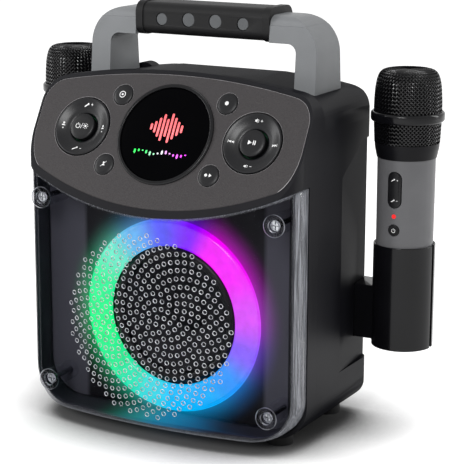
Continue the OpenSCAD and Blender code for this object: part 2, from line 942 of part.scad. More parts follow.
module holder_right() {
  color([0.06, 0.06, 0.07]) placed() holder();
}

module holder_left() {
  color([0.06, 0.06, 0.07]) placed() mirror([1, 0, 0]) holder();
}

// ---- microphones ----

// children at the axis of the left (-1) or right (1) microphone
module at_mic(side) {
  placed() translate([side * mic_x, mic_y, 0]) children();
}

// pill shape of the rocker, drawn out by g
module rocker_shape(g) {
  union() {
    translate([-5.1 - g, slot_z - 8.3]) square([10.2 + 2 * g, 16.6]);
    translate([0, slot_z - 8.3]) circle(r = 5.1 + g);
    translate([0, slot_z + 8.3]) circle(r = 5.1 + g);
  }
}

module mic_tube() {
  color([0.43, 0.43, 0.44]) difference() {
    translate([0, 0, mic_base + 12])
      cylinder(r1 = mic_radius - 0.5, r2 = mic_radius, h = tube_top - mic_base - 12);
    translate([0, 0, mic_base]) cylinder(r = mic_radius - 3, h = mic_length);
    front_view(-40, 0) rocker_shape(0.5);
    translate([0, 0, power_z]) rotate([90, 0, 0]) cylinder(r = 4.6, h = 60);
    translate([0, 0, led_z]) rotate([90, 0, 0]) cylinder(r = 1.7, h = 60);
  }
}

module mic_collar() {
  m = mic_radius;
  color([0.08, 0.08, 0.09]) rotate_extrude() polygon([
    [0, tube_top + 8.4], [0, tube_top + 11.4], [m + 2.4, tube_top + 11.4], [m + 2.2, tube_top + 8],
    [m + 0.6, tube_top], [m - 3.3, tube_top], [m - 3.3, tube_top - 5], [m - 5.2, tube_top - 5],
    [m - 5.2, tube_top + 8.4]
  ]);
}

module mic_ring() {
  color([0.05, 0.05, 0.06]) rotate_extrude() polygon([
    [mic_radius + 3.4, mic_top - 38.7], [mic_ring_radius - 1, mic_top - 38.7],
    [mic_ring_radius, mic_top - 37.4], [mic_ring_radius, mic_top - 32.6],
    [mic_ring_radius - 1, mic_top - 31.3], [mic_radius + 3.4, mic_top - 31.3]
  ]);
}

module mic_grille() {
  m = mic_radius;
  t = mic_top;
  color([0.12, 0.12, 0.13]) rotate_extrude() polygon([
    [m + 2.3, t - 54.6], [m + 3, t - 40], [m + 3.2, t - 31], [m + 3.1, t - 24], [m + 2.5, t - 14],
    [m + 1.6, t - 8.5], [m + 0.2, t - 4.2], [m - 2, t - 1.4], [m - 5.5, t - 0.2], [0, t],
    [0, t - 0.9], [m - 5.6, t - 1.1], [m - 2.6, t - 2.2], [m - 0.6, t - 4.7], [m + 0.7, t - 8.9],
    [m + 1.6, t - 14.2], [m + 2.2, t - 24], [m + 2.3, t - 31], [m + 2.1, t - 40], [m + 1.4, t - 54.6]
  ]);
}

module mic_capsule() {
  color([0.7, 0.6, 0.3]) {
    translate([0, 0, tube_top + 11.4]) cylinder(r = 12, h = 14);
    translate([0, 0, tube_top + 25.4]) cylinder(r = 9, h = 18);
  }
}

module mic_board() {
  color([0.08, 0.3, 0.16]) translate([-11, -14.5, mic_base + 12]) cube([22, 1.6, tube_top - mic_base - 17]);
}

module mic_end() {
  m = mic_radius;
  color([0.08, 0.08, 0.09]) rotate_extrude() polygon([
    [0, mic_base], [m - 2.5, mic_base], [m - 0.9, mic_base + 1.6], [m - 0.5, mic_base + 12],
    [m - 3.3, mic_base + 12], [0, mic_base + 12]
  ]);
}

module mic_lamp() {
  color([0.8, 0.1, 0.1]) translate([0, -14.5, led_z])
    rotate([90, 0, 0]) cylinder(r = 1.6, h = mic_radius - 14.4);
}

module mic_rocker() {
  color([0.06, 0.06, 0.07]) intersection() {
    front_view(-mic_radius - 2, -mic_radius + 5) rocker_shape(0);
    cylinder(r = mic_radius + 0.5, h = mic_top);
  }
}

module mic_power() {
  color([0.06, 0.06, 0.07]) translate([0, -mic_radius + 5, power_z])
    rotate([90, 0, 0]) cylinder(r = 4.25, h = 5.3);
}

module mic_left_tube() {
  at_mic(-1) mic_tube();
}

module mic_left_collar() {
  at_mic(-1) mic_collar();
}

module mic_left_ring() {
  at_mic(-1) mic_ring();
}

module mic_left_grille() {
  at_mic(-1) mic_grille();
}

module mic_left_capsule() {
  at_mic(-1) mic_capsule();
}

module mic_left_board() {
  at_mic(-1) mic_board();
}

module mic_left_end() {
  at_mic(-1) mic_end();
}

module mic_left_lamp() {
  at_mic(-1) mic_lamp();
}

module mic_left_rocker() {
  at_mic(-1) mic_rocker();
}

module mic_left_power() {
  at_mic(-1) mic_power();
}

module mic_right_tube() {
  at_mic(1) mic_tube();
}

module mic_right_collar() {
  at_mic(1) mic_collar();
}

module mic_right_ring() {
  at_mic(1) mic_ring();
}

module mic_right_grille() {
  at_mic(1) mic_grille();
}

module mic_right_capsule() {
  at_mic(1) mic_capsule();
}

module mic_right_board() {
  at_mic(1) mic_board();
}

module mic_right_end() {
  at_mic(1) mic_end();
}

module mic_right_lamp() {
  at_mic(1) mic_lamp();
}

module mic_right_rocker() {
  at_mic(1) mic_rocker();
}

module mic_right_power() {
  at_mic(1) mic_power();
}

front_housing();
rear_housing();
baffle();
front_cover();
cover_screws();
light_ring_lens();
light_ring_board();
speaker_basket();
speaker_magnet();
speaker_surround();
speaker_cone();
speaker_screws();
control_plate();
display_trim();
display_lens();
display_module();
control_board();
button_upper_left();
button_lower_left();
button_upper_right();
button_lower_right();
button_centre_left();
button_centre_right();
pad_left();
pad_right();
pad_frame_left();
pad_frame_right();
main_board();
battery_pack();
jack_plate();
power_inlet();
audio_jack();
handle();
handle_grip();
grip_studs();
housing_screws();
feet();
holder_left();
holder_right();
mic_left_tube();
mic_left_collar();
mic_left_ring();
mic_left_grille();
mic_left_capsule();
mic_left_board();
mic_left_end();
mic_left_lamp();
mic_left_rocker();
mic_left_power();
mic_right_tube();
mic_right_collar();
mic_right_ring();
mic_right_grille();
mic_right_capsule();
mic_right_board();
mic_right_end();
mic_right_lamp();
mic_right_rocker();
mic_right_power();
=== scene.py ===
import json
import math
import bmesh
import bpy
import numpy as np
from mathutils import Matrix, Vector

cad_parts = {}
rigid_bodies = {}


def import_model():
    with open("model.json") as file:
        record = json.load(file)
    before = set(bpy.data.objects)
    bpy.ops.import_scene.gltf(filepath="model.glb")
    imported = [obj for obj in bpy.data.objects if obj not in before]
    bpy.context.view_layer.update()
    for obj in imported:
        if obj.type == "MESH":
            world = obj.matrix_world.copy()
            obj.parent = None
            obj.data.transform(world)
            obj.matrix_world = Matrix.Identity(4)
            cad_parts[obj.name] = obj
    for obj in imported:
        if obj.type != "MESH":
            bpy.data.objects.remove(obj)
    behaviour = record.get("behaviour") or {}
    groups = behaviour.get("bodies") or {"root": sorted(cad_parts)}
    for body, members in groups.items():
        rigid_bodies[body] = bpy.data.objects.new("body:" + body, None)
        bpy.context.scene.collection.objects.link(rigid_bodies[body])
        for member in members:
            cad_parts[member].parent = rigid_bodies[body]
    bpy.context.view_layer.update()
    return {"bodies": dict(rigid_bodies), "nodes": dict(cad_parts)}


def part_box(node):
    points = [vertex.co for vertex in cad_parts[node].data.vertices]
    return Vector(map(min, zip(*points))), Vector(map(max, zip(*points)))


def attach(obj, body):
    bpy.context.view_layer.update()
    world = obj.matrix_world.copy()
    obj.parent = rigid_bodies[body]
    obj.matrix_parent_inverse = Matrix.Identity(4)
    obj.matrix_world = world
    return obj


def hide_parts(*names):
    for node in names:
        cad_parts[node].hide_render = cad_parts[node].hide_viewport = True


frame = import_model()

# ---- the table, the light and the camera ----
# The speaker stands on a plain white table under soft studio light: one broad lamp in front, two tall strips
# at the sides that draw the upright highlights, and one lamp above and behind.

mm = 0.001
scene = bpy.context.scene
scene.view_settings.view_transform = "Standard"


def new_material(name):
    """An empty material: its node tree, and its output node."""
    made = bpy.data.materials.new(name)
    made.use_nodes = True
    tree = made.node_tree
    tree.nodes.clear()
    return made, tree, tree.nodes.new("ShaderNodeOutputMaterial")


def node_of(tree, kind, **values):
    """A node with its properties and, by socket name or number, its inputs set."""
    made = tree.nodes.new("ShaderNode" + kind)
    for key, value in values.items():
        if key.startswith("in_"):
            made.inputs[int(key[3:])].default_value = value
        else:
            setattr(made, key, value)
    return made


def put(tree, value, socket):
    """Links an output to an input socket, or sets the input to a number, place or colour."""
    if isinstance(value, bpy.types.NodeSocket):
        tree.links.new(value, socket)
    else:
        socket.default_value = value


def computed(tree, operation, *values, kind="Math", **settings):
    """What a math node makes of the given numbers and outputs."""
    made = node_of(tree, kind, operation=operation, **settings)
    for value, socket in zip(values, made.inputs):
        put(tree, value, socket)
    return made.outputs["Vector" if kind == "VectorMath" and operation != "LENGTH" else "Value"]


def between(tree, factor, low, high, start=0.3, end=0.7):
    """factor from start to end mapped to low to high, kept between them."""
    made = node_of(tree, "MapRange", in_1=start, in_2=end, in_3=low, in_4=high)
    put(tree, factor, made.inputs[0])
    return made.outputs[0]


def seen_by_camera_and_gloss(tree):
    """1 on camera, glossy and transmission rays, 0 on the rays that light the object."""
    path = tree.nodes.new("ShaderNodeLightPath").outputs
    direct = computed(tree, "ADD", path["Is Camera Ray"], path["Is Glossy Ray"])
    return computed(tree, "ADD", direct, path["Is Transmission Ray"], use_clamp=True)


world = bpy.data.worlds.new("studio")
scene.world = world
world.use_nodes = True
sky = world.node_tree
sky_back = sky.nodes["Background"]
# the world is white where it is seen, and weaker on the rays that light the object
light_on_object = 0.34
sky_strength = between(sky, seen_by_camera_and_gloss(sky), light_on_object, 1.0, 0.0, 1.0)
put(sky, sky_strength, sky_back.inputs["Strength"])
sky_back.inputs["Color"].default_value = (1, 1, 1, 1)

table_half = 4.0
table_mesh = bpy.data.meshes.new("table")
table_mesh.from_pydata(
    [(x * table_half, y * table_half, 0) for x, y in ((-1, -1), (1, -1), (1, 1), (-1, 1))],
    [], [(0, 1, 2, 3)])
table = bpy.data.objects.new("table", table_mesh)
scene.collection.objects.link(table)
white_table, tree, output = new_material("white_table")
paper = node_of(tree, "BsdfDiffuse")
lit = node_of(tree, "Emission", in_0=(1, 1, 1, 1))
# the table's colour and its glow are darkened near the object by ambient occlusion: a painted contact shadow
near_object = node_of(tree, "AmbientOcclusion", samples=16)
near_object.inputs["Distance"].default_value = 0.085
painted_shadow_openness = near_object.outputs["AO"]
put(tree, between(tree, painted_shadow_openness, 0.1, 0.78, 0.4, 0.95), paper.inputs[0])
painted_shadow_glow = between(tree, painted_shadow_openness, 0.0, 0.8, 0.42, 0.95)
put(tree, computed(tree, "MULTIPLY", painted_shadow_glow, seen_by_camera_and_gloss(tree)), lit.inputs["Strength"])
together = tree.nodes.new("ShaderNodeAddShader")
put(tree, paper.outputs[0], together.inputs[0])
put(tree, lit.outputs[0], together.inputs[1])
put(tree, together.outputs[0], output.inputs["Surface"])
table_mesh.materials.append(white_table)


def lamp(name, place, aim, width, height, power):
    """A rectangular soft lamp at place, turned to aim, both in metres."""
    data = bpy.data.lights.new(name, "AREA")
    data.shape = "RECTANGLE"
    data.size = width
    data.size_y = height
    data.energy = power
    made = bpy.data.objects.new(name, data)
    away = (Vector(place) - Vector(aim)).normalized()
    made.matrix_world = Matrix.Translation(place) @ away.to_track_quat("Z", "Y").to_matrix().to_4x4()
    scene.collection.objects.link(made)


lamp("front", (0.2, -1.9, 1.35), (0, 0, 0.15), 0.8, 0.8, 33)
lamp("left", (-1.6, -0.9, 0.8), (0, 0, 0.15), 0.4, 1.3, 14)
lamp("right_behind", (1.3, 0.85, 0.75), (0.05, 0, 0.16), 0.25, 1.3, 11)
lamp("above_behind", (0.0, 0.9, 1.7), (0, 0, 0.2), 1.0, 0.6, 3)

camera_azimuth = math.radians(28.57)
camera_elevation = math.radians(13.22)
camera_roll = math.radians(0.2)
camera_aim = Vector((63.12, -63.21, 164.75)) * mm
camera_distance = 1227.7 * mm
camera_data = bpy.data.cameras.new("camera")
camera_data.lens = 132.6
camera_data.sensor_width = 36
camera_data.clip_start = 0.05
camera = bpy.data.objects.new("camera", camera_data)
scene.collection.objects.link(camera)
scene.camera = camera
back = Vector((
    math.sin(camera_azimuth) * math.cos(camera_elevation),
    -math.cos(camera_azimuth) * math.cos(camera_elevation),
    math.sin(camera_elevation)))
right = Vector((0, 0, 1)).cross(back).normalized()
axes = Matrix((right, back.cross(right), back)).transposed().to_4x4()
camera.matrix_world = (
    Matrix.Translation(camera_aim + back * camera_distance) @ axes @ Matrix.Rotation(camera_roll, 4, "Z"))

# ---- cabinet housings ----
# Two moulded shells of charcoal plastic, front and rear, that meet on a slanted seam. The tool leaves a fine
# satin grain on them, and every outside edge has a small radius.


def tint(code, strength=1.0):
    """A web colour as a linear colour with alpha 1."""
    parts = np.array([int(code[i:i + 2], 16) / 255 for i in (0, 2, 4)])
    linear = np.where(parts <= 0.04045, parts / 12.92, ((parts + 0.055) / 1.055) ** 2.4) * strength
    return (*linear.tolist(), 1.0)


def object_noise(tree, size, detail=2.0, stretch=(1, 1, 1)):
    """Noise on Object coordinates whose features are about size metres, drawn out by stretch."""
    where = tree.nodes.new("ShaderNodeTexCoord")
    mapping = tree.nodes.new("ShaderNodeMapping")
    mapping.inputs["Scale"].default_value = [1 / (size * s) for s in stretch]
    put(tree, where.outputs["Object"], mapping.inputs["Vector"])
    noise = node_of(tree, "TexNoise")
    noise.inputs["Scale"].default_value = 1.0
    noise.inputs["Detail"].default_value = detail
    put(tree, mapping.outputs[0], noise.inputs["Vector"])
    return noise.outputs["Fac"]


def colour_between(tree, factor, one, two, blend="MIX"):
    """A mix of two colours by factor."""
    made = tree.nodes.new("ShaderNodeMix")
    made.data_type = "RGBA"
    made.blend_type = blend
    for value, socket in ((factor, 0), (one, 6), (two, 7)):
        put(tree, value, made.inputs[socket])
    return made.outputs[2]


def bumped(tree, shader, height, depth, strength=1.0):
    """Raises the shader's surface by height times depth metres."""
    made = tree.nodes.new("ShaderNodeBump")
    made.inputs["Distance"].default_value = depth
    made.inputs["Strength"].default_value = strength
    put(tree, height, made.inputs["Height"])
    put(tree, made.outputs[0], shader.inputs["Normal"])


def principled(name, **values):
    """A material of one Principled shader, with the named inputs set."""
    made, tree, output = new_material(name)
    shader = tree.nodes.new("ShaderNodeBsdfPrincipled")
    for key, value in values.items():
        shader.inputs[key.replace("_", " ")].default_value = value
    put(tree, shader.outputs[0], output.inputs["Surface"])
    return made, tree, shader


def moulded(name, dark, light, rough, grain, depth, metal=0.0, patch=30, gloss=0.25, graze=None):
    """Moulded or turned finish: two close web colours in soft patches, roughness that wanders a little, and a
    fine grain. Grain, its depth and the patches are in millimetres. graze is the gloss at a shallow angle."""
    made, tree, shader = principled(name, Metallic=metal, Specular_IOR_Level=gloss)
    broad = between(tree, object_noise(tree, patch * mm, 3.0), 0.0, 1.0)
    fine = object_noise(tree, grain * mm, 2.0)
    put(tree, colour_between(tree, broad, tint(dark), tint(light)), shader.inputs["Base Color"])
    put(tree, between(tree, fine, rough * 0.85, rough * 1.15), shader.inputs["Roughness"])
    bumped(tree, shader, fine, depth * mm)
    if graze is not None:
        facing = node_of(tree, "LayerWeight", in_0=0.5).outputs["Facing"]
        put(tree, between(tree, facing, gloss, graze, 0.5, 0.78), shader.inputs["Specular IOR Level"])
    return made


def body_holding(node):
    """The name of the CAD body that a node rides on."""
    parent = frame["nodes"][node].parent
    return next(name for name, empty in frame["bodies"].items() if empty == parent)


def smooth(mesh, angle):
    """Smooth shading with sharp edges past angle, in degrees."""
    mesh.polygons.foreach_set("use_smooth", np.ones(len(mesh.polygons), bool))
    mesh.set_sharp_from_angle(angle=math.radians(angle))


def dressed(node, material, edge, limit=38, edge_material=None):
    """A merged copy of a CAD node with its flats made whole and its sharp edges rounded by edge metres."""
    source = frame["nodes"][node].data
    work = bmesh.new()
    work.from_mesh(source)
    bmesh.ops.remove_doubles(work, verts=work.verts, dist=1e-6)
    bmesh.ops.dissolve_limit(work, angle_limit=math.radians(0.3), verts=work.verts, edges=work.edges,
                             use_dissolve_boundaries=False)
    mesh = bpy.data.meshes.new(node + "_finished")
    work.to_mesh(mesh)
    work.free()
    mesh.materials.clear()
    mesh.materials.append(material)
    smooth(mesh, 30)
    made = bpy.data.objects.new(node + "_finished", mesh)
    scene.collection.objects.link(made)
    if edge:
        bevel = made.modifiers.new("edges", "BEVEL")
        bevel.width = edge
        bevel.segments = 2
        bevel.limit_method = "ANGLE"
        bevel.angle_limit = math.radians(limit)
        bevel.harden_normals = True
        bevel.use_clamp_overlap = True
        if edge_material:
            mesh.materials.append(edge_material)
            bevel.material = 1
    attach(made, body_holding(node))
    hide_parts(node)
    return made


def paint(node, material):
    """A CAD node that keeps its own mesh gets a finished material."""
    made = frame["nodes"][node]
    if not made.material_slots:
        made.data.materials.append(material)
    for place in made.material_slots:
        place.link = "OBJECT"
        place.material = material


charcoal = moulded("charcoal_plastic", "0c0c10", "111115", 0.45, 0.25, 0.006, gloss=0.12, graze=0.01)
dressed("front_housing", charcoal, 0.7 * mm)
dressed("rear_housing", charcoal, 0.7 * mm)

# ---- control plate ----
# A separate warm grey plate let into the sloping front, with a fine woven-looking texture cut into its mould
# and a chamfer round its edge that is painted pale as a highlight.

plate_finish, tree, plate_shader = principled("plate_weave", Specular_IOR_Level=0.2)
along = object_noise(tree, 0.32 * mm, 1.0, (3.2, 1, 1))
across = object_noise(tree, 0.32 * mm, 1.0, (1, 2.4, 2.4))
weave = between(tree, computed(tree, "ADD", along, across), 0.0, 1.0, 0.75, 1.25)
put(tree, colour_between(tree, weave, tint("292728"), tint("3e3b3c")), plate_shader.inputs["Base Color"])
put(tree, between(tree, weave, 0.46, 0.58, 0, 1), plate_shader.inputs["Roughness"])
bumped(tree, plate_shader, weave, 0.03 * mm)
# the pale colour of the plate's chamfer is a painted highlight along its edge
painted_plate_highlight = moulded("painted_plate_highlight", "9a989a", "b0aeb0", 0.3, 0.3, 0.002, gloss=0.4)
dressed("control_plate", plate_finish, 0.5 * mm, edge_material=painted_plate_highlight)

# ---- places on the sloping panel and on the speaker axis ----
# The panel slopes back by 30 degrees. Everything on it is placed across, up the slope and off its face, and
# everything on the speaker is placed round the speaker's own axis.

# the plane on which the construction measures depth, seen in the shared frame
datum_y = -63.213 * mm
panel_tilt = math.radians(30)
rim_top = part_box("front_housing")[1].z
panel_middle = np.array([0, datum_y + 12.9 * mm, rim_top - 43.7 * mm])
speaker_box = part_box("light_ring_lens")
speaker_middle = np.array([0, speaker_box[1].y, (speaker_box[0].z + speaker_box[1].z) / 2])


def on_panel(across, up, out):
    """Panel coordinates in metres to the frame: up runs along the slope, out leaves the face."""
    across, up, out = np.broadcast_arrays(across, up, out)
    y = panel_middle[1] + up * math.sin(panel_tilt) - out * math.cos(panel_tilt)
    z = panel_middle[2] + up * math.cos(panel_tilt) + out * math.sin(panel_tilt)
    return np.stack([across + panel_middle[0], y, z], -1)


def on_speaker(across, up, out):
    """Speaker coordinates to the frame: out runs to the front from the back of the light ring."""
    across, up, out = np.broadcast_arrays(across, up, out)
    return np.stack([across, speaker_middle[1] - out, speaker_middle[2] + up], -1)


def soft(corners, radius, steps=4, closed=True):
    """A profile whose corners are rounded: each corner becomes a short parabola that starts and ends on its
    two edges, radius away or less than half of the shorter edge."""
    corners = np.asarray(corners, float)
    before, after = np.roll(corners, 1, 0) - corners, np.roll(corners, -1, 0) - corners
    long_before, long_after = np.linalg.norm(before, axis=1), np.linalg.norm(after, axis=1)
    reach = np.minimum(radius, 0.45 * np.minimum(long_before, long_after))
    if not closed:
        reach[0] = reach[-1] = 0
    start = corners + before / long_before[:, None] * reach[:, None]
    end = corners + after / long_after[:, None] * reach[:, None]
    share = np.linspace(0, 1, steps + 1)[None, :, None]
    bent = ((1 - share) ** 2 * start[:, None] + 2 * share * (1 - share) * corners[:, None]
            + share ** 2 * end[:, None])
    points = bent.reshape(-1, 2)
    if not closed:
        points = np.concatenate([corners[:1], points[steps + 1:-steps - 1], corners[-1:]])
    return points


def grid_faces(rows, columns, round_u=False, round_v=False, copies=1):
    """The quads of a grid of points, closed round u or v where asked, once for each copy of the grid."""
    index = np.arange(rows * columns).reshape(rows, columns)
    if round_u:
        index = np.concatenate([index, index[:1]])
    if round_v:
        index = np.concatenate([index, index[:, :1]], 1)
    quads = np.stack([index[:-1, :-1], index[:-1, 1:], index[1:, 1:], index[1:, :-1]], -1).reshape(-1, 4)
    return (quads[None] + (np.arange(copies) * rows * columns)[:, None, None]).reshape(-1, 4)


def finish_piece(name, points, faces, body, material, nodes=(), angle=40, outward=True):
    """Makes a mesh, merges it, turns its faces outwards, shades it, and puts it on its body."""
    mesh = bpy.data.meshes.new(name)
    mesh.from_pydata(np.reshape(points, (-1, 3)), [], faces)
    work = bmesh.new()
    work.from_mesh(mesh)
    bmesh.ops.remove_doubles(work, verts=work.verts, dist=2e-7)
    bmesh.ops.dissolve_degenerate(work, edges=work.edges, dist=1e-7)
    if outward:
        bmesh.ops.recalc_face_normals(work, faces=work.faces)
    work.to_mesh(mesh)
    work.free()
    mesh.materials.append(material)
    smooth(mesh, angle)
    made = bpy.data.objects.new(name, mesh)
    scene.collection.objects.link(made)
    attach(made, body)
    if nodes:
        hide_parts(*nodes)
    return made


def turned(name, profile, place, body, material, nodes=(), sides=96, closed=True, angle=40):
    """A profile of (radius, height) turned once round the axis of place(across, up, out)."""
    profile = np.asarray(profile, float)
    turn = np.linspace(0, 2 * math.pi, sides, endpoint=False)
    radius, height = profile[:, :1], profile[:, 1:]
    points = place(radius * np.cos(turn), radius * np.sin(turn), height + 0 * turn)
    faces = grid_faces(len(profile), sides, round_u=closed, round_v=True)
    return finish_piece(name, points, faces, body, material, nodes, angle)


def panel_place(across, up):
    """A place function for turned() round an axis that leaves the panel at (across, up)."""
    return lambda x, v, n: on_panel(x + across, v + up, n)


# ---- display ----
# A glossy black window in a stepped black ring. Behind it a round display shows a generic row of level bars
# over a line of small coloured dots.

gloss_black = moulded("gloss_black", "09090b", "0c0c0f", 0.16, 0.5, 0.0004, gloss=0.22)
satin_black = moulded("satin_black", "0b0b0d", "101013", 0.3, 0.22, 0.003)
glass_black = moulded("window_black", "010102", "020203", 0.08, 0.8, 0.0001, gloss=0.02)
trim_profile = soft(np.array([
    [35, -5.5], [37.3, -5.5], [37.3, 0], [39.6, 0], [39.6, 0.9], [38.7, 1.8], [37, 1.8], [36.6, 0.8],
    [36.6, -1.2], [35, -1.2]]) * mm, 0.35 * mm)
turned("display_ring", trim_profile, panel_place(0, 0), "cabinet", gloss_black,
       ["display_trim"], sides=144)
window_profile = soft(
    np.array([[0, -1.2], [36.4, -1.2], [36.4, 0.5], [0, 0.5]]) * mm, 0.4 * mm, closed=False)
turned("display_window", window_profile, panel_place(0, 0), "cabinet", glass_black,
       ["display_lens"], sides=144, closed=False)


def glowing(name, colour, strength):
    """A small lit shape on the display: even light with a faint grid of picture cells."""
    made, tree, shader = principled(name, Roughness=0.25, Emission_Strength=strength)
    cells = object_noise(tree, 0.4 * mm, 0.0)
    dim = tuple(part * 0.86 for part in colour[:3]) + (1.0,)
    lit_colour = colour_between(tree, between(tree, cells, 0, 1), dim, colour)
    put(tree, lit_colour, shader.inputs["Emission Color"])
    put(tree, lit_colour, shader.inputs["Base Color"])
    return made


def walled(skin, thick, offset):
    """Gives a skin a wall thick metres thick: offset 1 is outwards, -1 inwards and 0 to both sides."""
    wall = skin.modifiers.new("wall", "SOLIDIFY")
    wall.thickness = thick
    wall.offset = offset


def flat_shapes(name, shapes, place, material, body):
    """Flat printed or lit shapes: each is an outline in metres, set on place(x, v) and given a thin body."""
    corners, faces = [], []
    for outline in shapes:
        start = len(corners)
        corners.extend(outline)
        faces.append(list(range(start, start + len(outline))))
    points = place(*np.asarray(corners, float).T)
    walled(finish_piece(name, points, faces, body, material, outward=False), 0.06 * mm, 1.0)


def bar(x, v, width, height):
    """An upright pill outline about (x, v): two half circles joined by straight sides."""
    turn = np.linspace(0, math.pi, 7)
    radius = min(width, height) / 2
    reach_x, reach_v = max(width / 2 - radius, 0), max(height / 2 - radius, 0)
    side = reach_x * np.sign(np.cos(turn)) + radius * np.cos(turn)
    half = np.stack([side, reach_v + radius * np.sin(turn)], 1)
    return np.concatenate([[x, v] + half, [x, v] - half])


def disc(x, v, radius, sides=20):
    """A round outline."""
    turn = np.linspace(0, 2 * math.pi, sides, endpoint=False)
    return np.stack([x + radius * np.cos(turn), v + radius * np.sin(turn)], 1)


def window_face(x, v):
    """A place on the display, a hair above its window."""
    return on_panel(x, v, 0.56 * mm)


bar_heights = [5, 9, 15, 21, 14, 23, 17, 11, 6]
level_bars = [bar((i - 4) * 3.2 * mm, 5 * mm, 1.9 * mm, height * mm) for i, height in enumerate(bar_heights)]
flat_shapes("level_bars", level_bars, window_face, glowing("coral_light", tint("f2676c"), 0.85),
            "cabinet")
dot_colours = ["2fe65a", "46e070", "8fd8a8", "d8d8e0", "e69af0", "e45cf0", "e23cf0"]
for i, code in enumerate(dot_colours):
    dots = [bar((n - 6.5) * 3.3 * mm, (1.1 * math.sin(n) - 15) * mm, 1.5 * mm,
                (2.2 + 1.2 * math.cos(1.7 * n)) * mm) for n in (2 * i, 2 * i + 1)]
    flat_shapes(f"level_dots_{i}", dots, window_face, glowing(f"dot_light_{i}", tint(code), 0.9),
                "cabinet")

# ---- pads and buttons ----
# Satin black dished rings that rock on a frame, a domed button in the middle of each, and four small round
# buttons. Their signs are printed in white: generic signs for power, play, skip, level and recording.

pad_across = 72.4 * mm
small_across, small_up = 44.5 * mm, 27.9 * mm
pad_profile = np.array([
    [11, -5.2], [24.7, -5.2], [24.7, -4.1], [23.1, -4.1], [23.1, 0.3], [22.2, 1.1], [20.7, 0.6], [18.1, -0.5],
    [15.1, -1.5], [12.2, -1.9], [11, -2.6]])
button_black = moulded("button_black", "101012", "151517", 0.32, 0.2, 0.003, gloss=0.2)


def button_profile(radius, flange):
    """Half section of a push button in millimetres, from its stem to the middle of its domed cap."""
    skirt = [[radius + 1.2, -5], [radius + 1.2, -3.2], [radius, -3.2]] if flange else [[radius, -5]]
    return np.array([
        [0, -7.5], [2.5, -7.5], [2.5, -5], *skirt, [radius, 0.2], [radius - 0.7, 0.75], [radius - 2.4, 1.05],
        [0, 1.2]])


for side, name in ((-1, "left"), (1, "right")):
    turned(f"pad_{name}_ring", soft(pad_profile * mm, 1.2 * mm), panel_place(side * pad_across, 0),
           f"pad_{name}", satin_black, [f"pad_{name}"], sides=120, angle=50)
    turned(f"button_centre_{name}_cap", soft(button_profile(10.2, False) * mm, 0.5 * mm, closed=False),
           panel_place(side * pad_across, 0), f"button_centre_{name}", button_black,
           [f"button_centre_{name}"], sides=96, closed=False, angle=50)
    for sign, level in ((1, "upper"), (-1, "lower")):
        turned(f"button_{level}_{name}_cap", soft(button_profile(8.2, True) * mm, 0.5 * mm, closed=False),
               panel_place(side * small_across, sign * small_up), f"button_{level}_{name}",
               button_black, [f"button_{level}_{name}"], sides=80, closed=False, angle=50)

print_white = moulded("print_white", "f0f0f0", "fafafa", 0.45, 0.15, 0.002)


def arc_band(x, v, radius, width, start, end, steps=18):
    """A band along part of a circle, from start to end in degrees, drawn as quads."""
    turn = np.radians(np.linspace(start, end, steps))
    inner, outer = radius - width / 2, radius + width / 2
    return [[(x + reach * math.cos(angle), v + reach * math.sin(angle))
             for angle, reach in ((first, inner), (last, inner), (last, outer), (first, outer))]
            for first, last in zip(turn[:-1], turn[1:])]


def stroke(x0, v0, x1, v1, width):
    """A straight stroke as one quad."""
    run = np.array([x1 - x0, v1 - v0])
    across = np.array([-run[1], run[0]]) / np.linalg.norm(run) * width / 2
    return [(x0 - across[0], v0 - across[1]), (x1 - across[0], v1 - across[1]),
            (x1 + across[0], v1 + across[1]), (x0 + across[0], v0 + across[1])]


def triangle(x, v, reach, turn):
    """A triangle whose point lies reach from (x, v), turned by turn degrees from the right."""
    turn = math.radians(turn)
    shape = np.array([[reach, 0], [-0.8 * reach, reach], [-0.8 * reach, -reach]])
    spin = np.array([[math.cos(turn), math.sin(turn)], [-math.sin(turn), math.cos(turn)]])
    return (shape @ spin + [x, v]).tolist()


def plus_sign(x, v, reach):
    """Two crossed strokes."""
    return [stroke(x - reach, v, x + reach, v, 0.3), stroke(x, v - reach, x, v + reach, 0.3)]


def power_sign(x, v, size=1.0):
    """An open ring with an upright stroke in its gap."""
    upright = stroke(x, v + 0.4 * size, x, v + 2.1 * size, 0.42 * size)
    return arc_band(x, v, 1.5 * size, 0.42 * size, 120, 420) + [upright]


def lamp_sign(x, v, size):
    """A small sun: a disc and eight rays."""
    near, far = 1.3 * size, 2.1 * size
    rays = [stroke(x + near * math.cos(turn), v + near * math.sin(turn),
                   x + far * math.cos(turn), v + far * math.sin(turn), 0.36 * size)
            for turn in np.arange(8) * math.pi / 4]
    return [disc(x, v, 0.85 * size, 14)] + rays


def voice_sign(x, v):
    """A handheld microphone: a round head and a slanted stem."""
    return [disc(x + 0.9, v + 0.6, 0.62, 12), stroke(x - 1.7, v - 1.1, x + 0.6, v + 0.4, 0.7)]


def person_sign(x, v):
    """A head over rounded shoulders."""
    half = np.linspace(0, math.pi, 9)
    shoulders = np.stack([x + 1.05 * np.cos(half), v - 1.3 + np.sin(half)], 1)
    return [disc(x, v + 0.55, 0.62, 12), shoulders]


def horn_sign(x, v):
    """A loudspeaker: a small box, a flare and one sound line."""
    return [[(x - 1.5, v - 0.5), (x - 0.8, v - 0.5), (x - 0.8, v + 0.5), (x - 1.5, v + 0.5)],
            [(x - 0.8, v - 0.5), (x, v - 1.2), (x, v + 1.2), (x - 0.8, v + 0.5)],
            *arc_band(x - 0.4, v, 1.2, 0.3, -45, 45, 6)]


def printed(name, signs, size, place, body):
    """Prints signs drawn in units of size metres on a black button, pad or rocker."""
    shapes = [np.asarray(outline) * size for outline in signs]
    flat_shapes(name, shapes, place, print_white, body)


def ring_face(centre):
    """Prints on a pad follow its dished face, a hair above it."""
    face = pad_profile[5:][::-1] * mm
    return lambda x, v: on_panel(
        x + centre, v, np.interp(np.hypot(x, v), face[:, 0], face[:, 1]) + 0.05 * mm)


